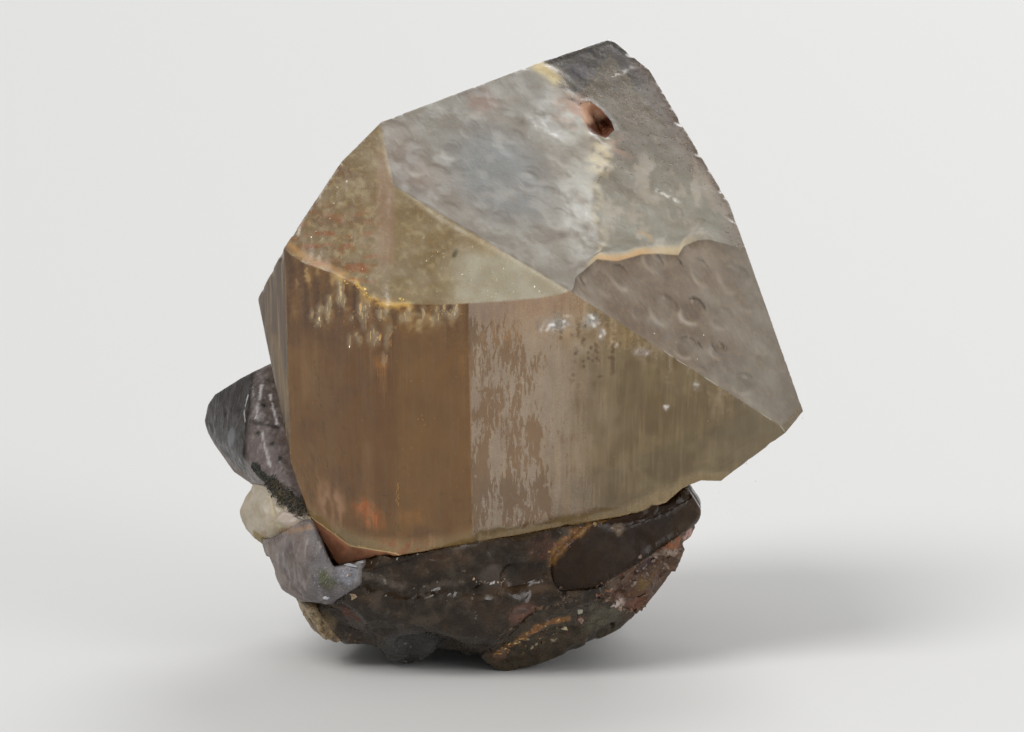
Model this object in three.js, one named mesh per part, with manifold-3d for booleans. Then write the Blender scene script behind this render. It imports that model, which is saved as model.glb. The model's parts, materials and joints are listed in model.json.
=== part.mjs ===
// Topaz crystal on a matrix of smoky quartz and feldspar, one natural specimen.
// Millimetres, +Z up. Origin at the middle of the specimen's bounding box, on the surface it rests on.
// The front of the specimen looks along -Y.
//
// The topaz is a convex crystal: each facet is a plane given by the compass direction it faces, its slope and
// its distance from the origin. The matrix grains are irregular blocks: each is the hull of its own corner
// points, cut back by the grains that grew against it, with a fine parting between neighbours.

import * as THREE from 'three';
import { ConvexGeometry } from 'three/addons/geometries/ConvexGeometry.js';
import { mergeVertices } from 'three/addons/utils/BufferGeometryUtils.js';
import Module from 'manifold-3d';

const wasm = await Module();
wasm.setup();

// ---------------------------------------------------------------- driving dimensions

const PARTING = 0.3;          // clear gap between neighbouring grains
const WELD = 0.02;            // corner points closer than this are one corner

// topaz facets: [direction faced in degrees from -Y towards +X, slope from +Z in degrees, distance from origin in mm]
const FACETS = {
  prismRight: [12.003, 91.490, 23.139],
  prismMiddle: [8.835, 91.557, 23.541],
  prismLeft: [-20.009, 91.928, 28.161],
  prismFarLeft: [-62.029, 91.615, 31.068],
  shoulderRight: [8.343, 57.559, 44.535],
  shoulderLeft: [-1.751, 57.162, 46.779],
  shoulderTop: [17.022, 35.966, 54.324],
  domeUpper: [33.628, 37.889, 50.172],
  domeLower: [37.626, 57.358, 43.885],
  leftSlope: [-94.789, 58.195, 45.780],
  leftSlopeUpper: [-100.991, 54.621, 46.589],
  leftUndercut: [-111.990, 109.164, 5.265],
  rightSlope: [89.204, 70.483, 43.665],
  rightSlopeUpper: [100.996, 69.790, 44.040],
  rearLeftSlope: [-125.000, 62.125, 35.163],
  rearLeftSlopeUpper: [-127.000, 61.472, 36.206],
  apexBevel: [140.000, 74.169, 44.224],
  cornerBevel: [44.092, 68.952, 43.220],
  rightUndercut: [99.997, 144.773, -5.501],
  base: [82.206, 171.611, -15.869],
  baseRight: [106.920, 161.037, -14.819],
  stainedCorner: [-40.434, 120.166, 17.836],
  stainedCornerFront: [-24.445, 131.266, 11.674],
  rear: [173.998, 88.195, 27.583],
  rearUndercut: [176.000, 121.000, 4.471],
  rearRight: [137.000, 93.000, 30.495],
  rearLeft: [-158.000, 70.000, 40.305],
  rearRightUndercut: [128.000, 118.000, 15.050],
};
// the deeper base under the stained corner
const BASE_LEFT = [86.905, 159.672, -18.067];

// corner points of the matrix grains, mm; a list with several hulls is one grain made of all of them
const CRYSTAL_CORNERS = [
  [
    [-29.16, -13.68, 34.23],
    [-27.30, -13.18, 35.05],
    [-24.65, -12.18, 35.63],
    [-30.77, -11.18, 33.10],
    [-32.64, -8.68, 31.65],
    [-34.23, -6.17, 30.44],
    [-35.16, -4.67, 29.00],
    [-35.58, -4.17, 27.09],
    [-35.19, -4.67, 25.83],
    [-34.18, -6.17, 24.49],
    [-32.62, -8.68, 23.08],
    [-31.68, -10.18, 22.00],
    [-30.03, -13.18, 21.56],
    [-28.86, -14.68, 21.52],
    [-29.10, -15.48, 32.65],
    [-29.70, -16.78, 28.59],
    [-30.04, -17.37, 25.01],
    [-27.96, -18.98, 23.21],
    [-25.90, -20.37, 21.39],
    [-24.19, -21.87, 19.77],
    [-22.89, -22.57, 18.90],
    [-21.34, -19.18, 18.57],
    [-22.87, -16.18, 23.15],
    [-24.72, -16.18, 26.71],
    [-25.44, -15.18, 31.30],
    [-34.85, -1.17, 28.71],
    [-35.17, -0.67, 25.68],
    [-33.46, -0.17, 30.03],
    [-32.26, 3.33, 30.26],
    [-32.26, -1.17, 20.84],
    [-33.55, 4.83, 24.56],
    [-31.03, 6.33, 28.32],
    [-31.62, 6.83, 22.99],
    [-30.55, 1.83, 19.33],
    [-17.70, 6.83, 36.93],
    [-14.70, 9.82, 28.93],
    [-13.70, 7.83, 20.93],
    [-15.70, 0.83, 15.93],
    [-20.70, -1.17, 15.43],
    [-12.70, -1.17, 23.93],
  ],
];
const CREAM_CORNERS = [
  [
    [-28.27, -14.68, 21.88],
    [-29.98, -14.18, 19.57],
    [-30.78, -14.18, 17.78],
    [-30.71, -14.18, 17.18],
    [-29.94, -15.18, 16.04],
    [-29.05, -16.18, 15.21],
    [-27.78, -17.68, 14.66],
    [-26.59, -21.18, 16.46],
    [-25.47, -22.18, 17.12],
    [-23.67, -23.18, 17.66],
    [-21.91, -23.68, 17.99],
    [-21.68, -23.48, 18.54],
    [-22.43, -22.37, 19.04],
    [-23.69, -21.68, 19.20],
    [-26.04, -20.18, 20.76],
    [-27.24, -17.78, 21.52],
    [-26.52, -21.78, 19.99],
    [-25.66, -22.78, 17.94],
    [-28.59, -18.78, 19.33],
    [-25.70, -6.17, 16.93],
    [-28.70, -7.17, 19.93],
    [-22.70, -5.17, 13.93],
    [-18.70, -8.18, 19.93],
  ],
];
const GREY_CORNERS = [
  [
    [-27.53, -18.18, 15.89],
    [-27.75, -18.18, 13.87],
    [-26.65, -19.18, 12.39],
    [-25.66, -20.18, 11.17],
    [-25.42, -20.37, 9.78],
    [-23.72, -21.68, 9.04],
    [-22.99, -22.18, 8.85],
    [-20.21, -24.18, 9.03],
    [-19.58, -25.18, 10.06],
    [-17.80, -25.98, 11.05],
    [-16.52, -26.18, 11.67],
    [-16.18, -25.78, 13.58],
    [-17.81, -25.37, 14.09],
    [-19.30, -25.57, 14.25],
    [-20.67, -25.48, 16.45],
    [-21.86, -24.37, 18.59],
    [-24.38, -22.98, 17.27],
    [-23.33, -25.37, 14.68],
    [-21.97, -25.57, 11.32],
    [-19.13, -26.78, 12.61],
    [-24.70, -8.18, 13.93],
    [-23.70, -7.17, 7.93],
    [-12.70, -11.18, 6.93],
    [-12.70, -13.18, 13.93],
  ],
];
const PLATE_CORNERS = [
  [
    [-23.85, -17.68, 8.15],
    [-22.97, -20.68, 8.42],
    [-21.88, -21.37, 7.37],
    [-21.20, -21.37, 6.07],
    [-20.78, -20.68, 4.60],
    [-19.23, -20.18, 3.66],
    [-20.54, -18.68, 3.39],
    [-21.91, -17.18, 4.08],
    [-22.69, -16.68, 5.18],
    [-23.56, -16.68, 6.86],
    [-19.70, -9.18, 6.93],
    [-17.70, -8.18, 2.93],
    [-15.70, -10.18, 5.93],
  ],
];
const DARK_CORNERS = [
  [
    [20.92, -18.68, 21.27],
    [21.98, -18.37, 20.80],
    [23.28, -17.68, 18.53],
    [23.20, -17.87, 17.74],
    [22.44, -18.48, 17.14],
    [20.36, -19.98, 16.11],
    [17.21, -21.98, 14.31],
    [15.44, -22.98, 13.38],
    [12.74, -24.18, 12.21],
    [10.88, -24.98, 11.08],
    [7.06, -25.78, 10.95],
    [6.48, -25.98, 11.63],
    [6.13, -26.07, 12.59],
    [6.13, -26.18, 14.48],
    [8.43, -25.57, 16.35],
    [11.10, -24.57, 18.74],
    [16.12, -22.18, 20.65],
    [19.46, -19.78, 21.64],
    [21.30, -3.17, 21.43],
    [23.80, -7.17, 17.93],
    [18.30, -1.17, 11.93],
    [5.30, -5.17, 6.93],
    [5.30, -3.17, 15.93],
    [13.30, -1.17, 20.93],
  ],
];
const IRON_CORNERS = [
  [
    [22.92, -16.68, 17.16],
    [22.07, -17.37, 15.38],
    [21.36, -17.78, 13.79],
    [20.87, -18.37, 13.07],
    [20.49, -17.78, 11.40],
    [19.40, -17.57, 10.16],
    [17.54, -17.18, 8.40],
    [16.50, -16.78, 6.88],
    [15.82, -16.37, 5.77],
    [13.00, -19.78, 7.04],
    [12.00, -22.18, 8.85],
    [11.25, -24.18, 11.03],
    [13.20, -24.18, 12.68],
    [17.31, -22.37, 14.68],
    [20.88, -19.98, 16.70],
    [21.30, -1.17, 16.93],
    [19.80, -0.17, 11.93],
    [15.30, -1.17, 6.93],
    [9.30, -5.17, 5.93],
    [10.30, -3.17, 11.93],
  ],
];
const VEIN_CORNERS = [
  [
    [-2.20, -21.37, 1.90],
    [-0.68, -20.78, 0.99],
    [-0.34, -19.97, 0.00],
    [0.79, -20.18, 0.00],
    [2.24, -19.34, 0.00],
    [3.42, -17.76, 0.00],
    [4.62, -15.09, 0.00],
    [6.34, -19.78, 1.60],
    [7.83, -19.18, 2.30],
    [10.13, -17.98, 3.30],
    [12.22, -16.78, 3.51],
    [13.93, -16.57, 4.31],
    [15.10, -16.57, 5.52],
    [15.67, -17.18, 6.37],
    [12.96, -21.18, 8.40],
    [10.33, -23.78, 9.65],
    [8.13, -24.37, 8.60],
    [5.47, -24.57, 7.11],
    [3.27, -24.37, 5.53],
    [-0.67, -22.98, 2.85],
    [0.37, -22.90, 4.26],
    [2.11, -24.10, 6.30],
    [3.85, -24.70, 7.96],
    [5.92, -24.90, 8.94],
    [0.10, -9.18, 0.00],
    [4.80, -9.18, 0.00],
    [-1.70, -10.18, 2.00],
    [9.30, -3.17, 3.20],
    [13.30, -1.17, 6.93],
    [5.30, 0.83, 7.93],
    [-2.70, -8.18, 3.93],
  ],
];
const MATRIX_CORNERS = [
  [
    [4.07, -26.00, 11.05],
    [7.52, -25.60, 11.67],
    [11.70, -24.60, 11.71],
    [12.17, -24.20, 10.68],
    [10.55, -24.60, 9.35],
    [7.54, -25.00, 8.38],
    [4.54, -25.30, 7.85],
    [4.16, -13.00, 8.39],
    [7.72, -13.00, 9.12],
    [11.99, -13.00, 9.36],
    [12.47, -13.00, 8.39],
    [10.81, -13.00, 6.94],
    [7.73, -13.00, 5.84],
    [4.63, -13.00, 5.24],
  ],
  [
    [-19.77, -23.78, 8.94],
    [-17.95, -25.37, 10.69],
    [-16.52, -25.98, 13.16],
    [-17.92, -25.57, 14.25],
    [-14.23, -25.37, 15.96],
    [-10.19, -25.87, 16.06],
    [-2.14, -26.07, 17.85],
    [6.83, -24.98, 18.81],
    [12.63, -23.18, 19.07],
    [-11.56, -26.87, 9.83],
    [-3.51, -27.28, 12.48],
    [2.22, -26.78, 10.04],
    [6.37, -25.98, 11.05],
    [-7.01, -25.37, 5.75],
    [-0.09, -24.37, 4.58],
    [-16.29, -24.37, 6.71],
    [-21.34, -20.68, 7.11],
    [-23.77, -15.18, 6.91],
    [-21.85, -16.18, 3.86],
    [-20.55, -18.37, 3.38],
    [-19.28, -19.18, 3.50],
    [-17.91, -19.78, 3.09],
    [-15.18, -20.57, 3.21],
    [-13.42, -20.78, 2.72],
    [-7.47, -20.57, 2.67],
    [-2.22, -19.18, 1.64],
    [-22.70, -7.17, 14.93],
    [-24.70, 0.83, 15.93],
    [-22.70, 8.82, 16.93],
    [-12.70, 16.82, 18.93],
    [1.30, 20.82, 20.43],
    [14.55, 8.82, 7.48],
    [17.14, 4.83, 10.16],
    [18.14, -1.17, 11.93],
    [-19.70, 2.83, 4.93],
    [-15.70, 11.82, 5.93],
    [-4.70, 17.82, 6.93],
    [8.30, 17.82, 7.93],
    [14.30, 10.82, 6.93],
    [16.30, 2.83, 8.93],
    [17.30, -3.17, 13.93],
    [-10.70, -11.18, 2.20],
    [-13.70, 2.83, 2.20],
    [-6.70, 11.82, 2.20],
    [6.30, 12.82, 2.20],
    [10.80, 4.83, 2.40],
    [7.30, -3.17, 2.20],
  ],
  [
    [-14.77, -22.18, 3.86],
    [-13.42, -20.78, 2.60],
    [-12.88, -19.78, 1.06],
    [-11.95, -19.57, 0.89],
    [-11.06, -18.18, 0.00],
    [-9.62, -19.13, 0.00],
    [-8.92, -18.57, 0.85],
    [-8.56, -18.98, 1.60],
    [-7.48, -19.98, 2.60],
    [-6.37, -22.68, 4.21],
    [-10.49, -24.78, 5.85],
    [-12.90, -14.68, 0.00],
    [-10.00, -14.18, 0.00],
    [-15.20, -9.18, 3.50],
    [-6.70, -9.18, 3.50],
    [-10.70, -5.17, 4.93],
  ],
  [
    [-15.20, 7.33, 0.00],
    [-11.90, 6.42, 0.00],
    [-9.30, 8.23, 0.00],
    [-10.10, 11.62, 0.00],
    [-13.50, 12.02, 0.00],
    [-19.20, 4.33, 5.20],
    [-19.50, 9.82, 6.50],
    [-16.20, 15.22, 5.80],
    [-8.10, 16.43, 4.60],
    [-4.90, 12.02, 3.40],
    [-6.90, 4.23, 3.00],
    [-13.20, 1.62, 3.60],
    [-17.70, 1.83, 12.00],
    [-18.70, 13.82, 13.00],
    [-7.70, 17.82, 12.00],
    [-3.70, 6.83, 12.00],
  ],
  [
    [6.90, 10.02, 0.00],
    [9.30, 8.23, 0.00],
    [12.10, 9.43, 0.00],
    [11.90, 12.43, 0.00],
    [8.90, 13.82, 0.00],
    [2.10, 8.02, 3.60],
    [4.90, 3.63, 3.20],
    [11.50, 3.23, 3.00],
    [14.70, 7.42, 4.00],
    [14.50, 14.22, 5.60],
    [9.70, 18.43, 5.80],
    [2.90, 16.62, 4.80],
    [14.30, 2.83, 11.00],
    [16.80, 11.82, 12.00],
    [6.30, 19.82, 12.00],
    [0.30, 10.82, 12.00],
  ],
];
const NOTCH_CORNERS = [
  [
    [17.34, -35.17, 21.61],
    [18.79, -35.17, 22.69],
    [19.79, -35.17, 23.77],
    [20.35, -35.17, 24.29],
    [21.24, -35.17, 24.73],
    [22.47, -35.17, 25.21],
    [24.82, -35.17, 25.14],
    [26.86, -35.17, 22.98],
    [17.35, -35.17, 19.56],
    [18.32, -11.18, 17.23],
    [19.86, -11.18, 18.38],
    [20.92, -11.18, 19.52],
    [21.51, -11.18, 20.06],
    [22.46, -11.18, 20.54],
    [23.76, -11.18, 21.04],
    [26.26, -11.18, 20.97],
    [28.42, -11.18, 18.68],
    [18.33, -11.18, 15.05],
  ],
];
const PIT_CORNERS = [
  [
    [9.13, 7.14, 65.02],
    [10.62, 8.55, 65.30],
    [12.08, 7.89, 64.24],
    [13.51, 6.36, 62.63],
    [13.96, 4.77, 61.41],
    [12.69, 2.67, 60.59],
    [10.99, 2.49, 61.21],
    [9.56, 3.99, 62.80],
    [11.79, 10.80, 62.20],
    [13.15, 10.76, 61.58],
    [12.36, 8.74, 60.87],
    [10.39, 9.19, 63.91],
  ],
];
// the hollow in front of the topaz's stained corner, where grains broke away and left it bare
const RECESS_CORNERS = [
  [
    [-21.42, -36.00, 20.74],
    [-18.94, -36.00, 15.33],
    [-18.66, -36.00, 15.16],
    [-16.08, -36.00, 15.61],
    [-13.04, -36.00, 17.04],
    [-12.81, -36.00, 18.01],
    [-19.05, -36.00, 22.56],
    [-21.52, -36.00, 22.22],
    [-22.28, -17.00, 17.34],
    [-19.86, -17.00, 11.72],
    [-19.62, -17.00, 11.66],
    [-17.04, -17.00, 12.08],
    [-13.85, -17.00, 13.49],
    [-13.73, -17.00, 14.23],
    [-20.04, -17.00, 18.77],
    [-22.28, -17.00, 18.29],
  ],
];
// the strip in front of the topaz's lower edge, which the grains leave bare
const LEDGE_CORNERS = [
  [
    [-11.06, -34.00, 22.77],
    [-11.09, -34.00, 16.59],
    [-8.16, -34.00, 16.88],
    [-2.07, -34.00, 17.91],
    [-2.07, -34.00, 22.77],
    [-11.39, -23.60, 20.90],
    [-11.41, -23.60, 14.56],
    [-8.41, -23.60, 14.86],
    [-2.16, -23.60, 15.92],
    [-2.16, -23.60, 20.90],
  ],
  [
    [-2.07, -34.00, 22.77],
    [-2.07, -34.00, 17.91],
    [4.46, -34.00, 19.00],
    [10.08, -34.00, 20.03],
    [10.07, -34.00, 22.77],
    [-2.16, -23.60, 20.90],
    [-2.16, -23.60, 15.92],
    [4.54, -22.90, 16.90],
    [10.36, -21.60, 17.72],
    [10.35, -21.60, 20.55],
  ],
  [
    [10.07, -34.00, 23.45],
    [10.08, -34.00, 20.03],
    [11.43, -34.00, 20.35],
    [14.01, -34.00, 21.01],
    [15.47, -34.00, 21.45],
    [17.38, -34.00, 22.40],
    [19.51, -34.00, 23.43],
    [19.50, -34.00, 24.59],
    [10.35, -21.60, 21.25],
    [10.36, -21.60, 17.72],
    [11.75, -21.40, 18.01],
    [14.44, -20.90, 18.60],
    [15.96, -20.60, 19.01],
    [17.94, -20.20, 19.92],
    [20.17, -19.80, 20.91],
    [20.16, -19.80, 22.11],
  ],
];

// ---------------------------------------------------------------- helpers

const rad = THREE.MathUtils.degToRad;

// outward unit normal of a facet
function facing([azimuth, slope]) {
  const a = rad(azimuth), s = rad(slope);
  return new THREE.Vector3(Math.sin(s) * Math.sin(a), -Math.sin(s) * Math.cos(a), Math.cos(s));
}

// corner points of the convex body that lies inside all the facet planes
function cornersOf(facets) {
  const planes = facets.map((f) => new THREE.Plane(facing(f), -f[2]));
  const corners = [];
  const m = new THREE.Matrix3();
  for (let i = 0; i < planes.length; i++)
    for (let j = i + 1; j < planes.length; j++)
      for (let k = j + 1; k < planes.length; k++) {
        const a = planes[i].normal, b = planes[j].normal, c = planes[k].normal;
        m.set(a.x, a.y, a.z, b.x, b.y, b.z, c.x, c.y, c.z);
        if (Math.abs(m.determinant()) < 1e-4) continue;
        const p = new THREE.Vector3(-planes[i].constant, -planes[j].constant, -planes[k].constant);
        p.applyMatrix3(m.invert());
        if (planes.some((q) => q.distanceToPoint(p) > 2e-3)) continue;
        if (corners.some((q) => q.distanceTo(p) < WELD)) continue;
        corners.push(p);
      }
  return corners;
}

const vectors = (list) => list.map((p) => new THREE.Vector3(...p));

// closed solid from any closed geometry
function solid(geometry) {
  const g = geometry.clone();
  g.deleteAttribute('normal');
  g.deleteAttribute('uv');
  const merged = mergeVertices(g, 1e-4);
  return new wasm.Manifold(new wasm.Mesh({
    numProp: 3,
    vertProperties: new Float32Array(merged.attributes.position.array),
    triVerts: new Uint32Array(merged.index.array),
  }));
}

const hull = (points) => solid(new ConvexGeometry(points));

// the same hull grown by r all round
function swollen(points, r) {
  const grown = [];
  for (const p of points)
    for (const x of [-1, 0, 1])
      for (const y of [-1, 0, 1])
        for (const z of [-1, 0, 1]) {
          if (Math.abs(x) + Math.abs(y) + Math.abs(z) === 2) continue;
          const d = new THREE.Vector3(x, y, z);
          if (d.lengthSq() > 0) d.setLength(r * 1.08);
          grown.push(p.clone().add(d));
        }
  return hull(grown);
}

const joined = (solids) => solids.reduce((a, b) => a.add(b));
const grain = (lists) => joined(lists.map((l) => hull(vectors(l))));
const room = (lists) => joined(lists.map((l) => swollen(vectors(l), PARTING)));

// the largest body of a solid, without the crumbs a cut leaves
function whole(s) {
  const bodies = s.decompose();
  bodies.sort((a, b) => b.volume() - a.volume());
  return bodies[0];
}

function meshOf(name, s, colour, roughness, metalness = 0, more = {}) {
  const m = whole(s).getMesh();
  const g = new THREE.BufferGeometry();
  g.setAttribute('position', new THREE.BufferAttribute(new Float32Array(m.vertProperties), 3));
  g.setIndex(new THREE.BufferAttribute(new Uint32Array(m.triVerts), 1));
  const material = new THREE.MeshStandardMaterial({ color: new THREE.Color(colour), roughness, metalness, flatShading: true, ...more });
  const mesh = new THREE.Mesh(g, material);
  mesh.name = name;
  return mesh;
}

// ---------------------------------------------------------------- topaz

const facets = Object.values(FACETS);
const cornersMain = cornersOf(facets);
const cornersLeft = cornersOf(facets.map((f) => (f === FACETS.base ? BASE_LEFT : f)));
const notch = grain(NOTCH_CORNERS);
const pit = grain(PIT_CORNERS);
const topaz = hull(cornersMain).add(hull(cornersLeft)).subtract(notch).subtract(pit);

// the room the topaz takes in the grains around it; the notch is where the dark quartz grew against it
const topazRoom = swollen(cornersMain, PARTING).add(swollen(cornersLeft, PARTING))
  .subtract(notch.translate([0.15, 0, -PARTING * 1.5]));

// ---------------------------------------------------------------- grains of the matrix

const ledge = grain(LEDGE_CORNERS);
const dark = grain(DARK_CORNERS).subtract(topazRoom).subtract(ledge);
const vein = grain(VEIN_CORNERS).subtract(room(DARK_CORNERS));
const iron = grain(IRON_CORNERS).subtract(topazRoom).subtract(room(DARK_CORNERS)).subtract(room(VEIN_CORNERS));
const recess = grain(RECESS_CORNERS);
const grey = grain(GREY_CORNERS).subtract(topazRoom).subtract(recess);
const cream = grain(CREAM_CORNERS).subtract(topazRoom).subtract(room(GREY_CORNERS)).subtract(recess);
const crystal = grain(CRYSTAL_CORNERS).subtract(topazRoom).subtract(room(CREAM_CORNERS)).subtract(room(GREY_CORNERS));
const plates = grain(PLATE_CORNERS).subtract(room(GREY_CORNERS));
let matrix = grain(MATRIX_CORNERS).subtract(topazRoom).subtract(recess).subtract(ledge);
for (const corners of [DARK_CORNERS, VEIN_CORNERS, IRON_CORNERS, GREY_CORNERS, CREAM_CORNERS, CRYSTAL_CORNERS, PLATE_CORNERS])
  matrix = matrix.subtract(room(corners));

// ---------------------------------------------------------------- the specimen

const specimen = new THREE.Group();
specimen.name = 'topaz_specimen';

const minerals = new THREE.Group();
minerals.add(
  meshOf('smoky_quartz_crystal', crystal, '#6c6264', 0.4),
  meshOf('feldspar_cream', cream, '#b4ae9a', 0.6),
  meshOf('feldspar_grey', grey, '#877d78', 0.55),
  meshOf('feldspar_plates', plates, '#9b8568', 0.65),
  meshOf('smoky_quartz_matrix', matrix, '#2f251d', 0.25),
  meshOf('smoky_quartz_dark', dark, '#2b1f18', 0.15),
  meshOf('feldspar_iron', iron, '#6e412c', 0.6),
  meshOf('quartz_vein_block', vein, '#5b4b33', 0.4),
);
specimen.add(
  meshOf('topaz_crystal', topaz, '#86714f', 0.12, 0, { transparent: true, opacity: 0.85 }),
  minerals,
);

export default specimen;
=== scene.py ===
import json
import math

import bmesh
import bpy
import numpy as np
from mathutils import Matrix, Vector, geometry
from mathutils.bvhtree import BVHTree


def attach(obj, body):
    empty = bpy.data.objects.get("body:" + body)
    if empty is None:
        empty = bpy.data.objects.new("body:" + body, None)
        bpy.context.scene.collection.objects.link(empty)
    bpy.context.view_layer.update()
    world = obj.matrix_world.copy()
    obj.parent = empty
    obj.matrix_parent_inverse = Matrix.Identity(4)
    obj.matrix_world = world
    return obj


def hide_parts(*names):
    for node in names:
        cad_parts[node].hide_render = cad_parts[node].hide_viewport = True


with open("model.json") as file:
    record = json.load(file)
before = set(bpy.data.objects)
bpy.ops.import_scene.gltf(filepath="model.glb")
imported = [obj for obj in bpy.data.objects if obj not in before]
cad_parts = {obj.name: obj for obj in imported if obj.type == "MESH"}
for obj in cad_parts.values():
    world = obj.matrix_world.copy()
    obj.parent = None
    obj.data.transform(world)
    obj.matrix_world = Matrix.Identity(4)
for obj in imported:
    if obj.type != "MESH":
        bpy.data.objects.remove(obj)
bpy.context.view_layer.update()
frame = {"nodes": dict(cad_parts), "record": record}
NODES = frame["nodes"]

MM = 0.001
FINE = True

# ------------------------------------------------------------------ the camera, in millimetres of the part's frame

LENS, SENSOR, WIDE, HIGH = 125.0, 36.0, 1024, 732
FOCAL = LENS / SENSOR * WIDE
TILT = math.radians(8.0)
EYE = np.array([1.304, -427.689, 93.307])
AHEAD = np.array([0.0, math.cos(TILT), -math.sin(TILT)])
ABOVE = np.array([0.0, math.sin(TILT), math.cos(TILT)])


def seen_at(p):
    """Where points of the part (N x 3, mm) fall in the 1024 x 732 frame."""
    d = p - EYE
    depth = d @ AHEAD
    return np.stack([WIDE / 2 + FOCAL * d[:, 0] / depth, HIGH / 2 - FOCAL * (d @ ABOVE) / depth], 1)


def on_plane(uv, normal, offset):
    """The points of a plane (normal . p = offset, mm) that fall at uv in the frame."""
    uv = np.atleast_2d(np.asarray(uv, float))
    ray = (AHEAD[None] + (uv[:, :1] - WIDE / 2) / FOCAL * np.array([[1.0, 0, 0]])
           + (HIGH / 2 - uv[:, 1:2]) / FOCAL * ABOVE[None])
    t = (offset - EYE @ normal) / (ray @ normal)
    return EYE + ray * t[:, None]


# ------------------------------------------------------------------ noise and small mathematics

TABLE = np.random.RandomState(11)
PERM = TABLE.permutation(256)
GRAD = TABLE.normal(size=(256, 3))
GRAD /= np.linalg.norm(GRAD, axis=1, keepdims=True)


def perlin(p, seed=0):
    p = np.asarray(p, float) + np.array([13.7, 41.3, 7.9]) * (seed + 1)
    cell = np.floor(p).astype(np.int64)
    f = p - cell
    w = f * f * f * (f * (f * 6 - 15) + 10)
    total = np.zeros(len(p))
    for dx in (0, 1):
        hx = PERM[(cell[:, 0] + dx) & 255]
        wx = w[:, 0] if dx else 1 - w[:, 0]
        for dy in (0, 1):
            hy = PERM[(hx + cell[:, 1] + dy) & 255]
            wy = w[:, 1] if dy else 1 - w[:, 1]
            for dz in (0, 1):
                g = GRAD[PERM[(hy + cell[:, 2] + dz) & 255]]
                wz = w[:, 2] if dz else 1 - w[:, 2]
                total += wx * wy * wz * ((f - [dx, dy, dz]) * g).sum(1)
    return total * 1.5


def fbm(p, octaves=4, seed=0, gain=0.5):
    p = np.asarray(p, float)
    total, size = np.zeros(len(p)), 1.0
    for k in range(octaves):
        total += size * perlin(p * 2.03 ** k, seed + 31 * k)
        size *= gain
    return total


def smooth(a, b, x):
    t = np.clip((x - a) / (b - a), 0, 1)
    return t * t * (3 - 2 * t)


def lin(*rgb):
    """A colour given as 0-255 sRGB, in linear light."""
    c = np.array(rgb, float) / 255
    return np.where(c <= 0.04045, c / 12.92, ((c + 0.055) / 1.055) ** 2.4)


def mixed(a, b, k):
    k = np.asarray(k, float)
    return a * (1 - k)[:, None] + b * k[:, None]


def line_distance(uv, line):
    """Distance of points from an open polyline, how far along it the nearest place is, and which side (+ is its left, as drawn)."""
    uv, line = np.asarray(uv, float), np.asarray(line, float)
    best = np.full(len(uv), 1e9)
    along, side = np.zeros(len(uv)), np.ones(len(uv))
    run = 0.0
    for a, b in zip(line[:-1], line[1:]):
        ab = b - a
        size = math.hypot(*ab)
        t = np.clip(((uv - a) @ ab) / size ** 2, 0, 1)
        off = uv - (a + t[:, None] * ab)
        d = np.hypot(off[:, 0], off[:, 1])
        near = d < best
        best = np.where(near, d, best)
        along = np.where(near, run + t * size, along)
        cross = ab[0] * off[:, 1] - ab[1] * off[:, 0]
        side = np.where(near, np.where(cross <= 0, 1.0, -1.0), side)
        run += size
    return best, along / run, side


def inside(uv, loop):
    """Even-odd test of points against a closed outline."""
    loop = np.asarray(loop, float)
    hit = np.zeros(len(uv), bool)
    for a, b in zip(loop, np.roll(loop, -1, 0)):
        cross = (a[1] > uv[:, 1]) != (b[1] > uv[:, 1])
        if a[1] != b[1]:
            x = (b[0] - a[0]) * (uv[:, 1] - a[1]) / (b[1] - a[1]) + a[0]
            hit ^= cross & (uv[:, 0] < x)
    return hit


def region(uv, loop, soft):
    """1 inside an outline of the frame and 0 outside, with a soft border of that many pixels."""
    loop = np.asarray(loop, float)
    d = line_distance(uv, np.vstack([loop, loop[:1]]))[0]
    return smooth(-soft, soft, np.where(inside(uv, loop), d, -d))


def blob(uv, x, y, rx, ry=None, turn=0.0):
    """1 in the middle of an ellipse of the frame, falling softly to 0 at its edge."""
    ry = ry or rx
    c, s = math.cos(math.radians(turn)), math.sin(math.radians(turn))
    dx, dy = uv[:, 0] - x, uv[:, 1] - y
    r = np.hypot((dx * c + dy * s) / rx, (-dx * s + dy * c) / ry)
    return 1 - smooth(0.35, 1.0, r)


# ------------------------------------------------------------------ meshes

def closed_mesh(name, points, faces, attributes=None, sharp=30.0, weld=None):
    """A smooth-shaded mesh object from points in mm. attributes maps a name to one value or one colour a point."""
    mesh = bpy.data.meshes.new(name)
    mesh.from_pydata((np.asarray(points) * MM).tolist(), [], np.asarray(faces).tolist())
    mesh.update()
    for key, values in (attributes or {}).items():
        values = np.asarray(values, np.float32)
        if values.ndim == 1:
            mesh.attributes.new(key, "FLOAT", "POINT").data.foreach_set("value", values)
        else:
            rgba = np.ones((len(values), 4), np.float32)
            rgba[:, :3] = values
            mesh.attributes.new(key, "FLOAT_COLOR", "POINT").data.foreach_set("color", rgba.ravel())
    mesh.shade_smooth()
    if sharp:
        mesh.set_sharp_from_angle(angle=math.radians(sharp))
    piece = bpy.data.objects.new(name, mesh)
    bpy.context.scene.collection.objects.link(piece)
    return piece


def coords(mesh):
    co = np.empty(len(mesh.vertices) * 3, np.float32)
    mesh.vertices.foreach_get("co", co)
    return co.reshape(-1, 3).astype(float) / MM


def normals(mesh):
    n = np.empty(len(mesh.vertices) * 3, np.float32)
    mesh.vertices.foreach_get("normal", n)
    return n.reshape(-1, 3).astype(float)


# ------------------------------------------------------------------ the topaz's faces

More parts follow.
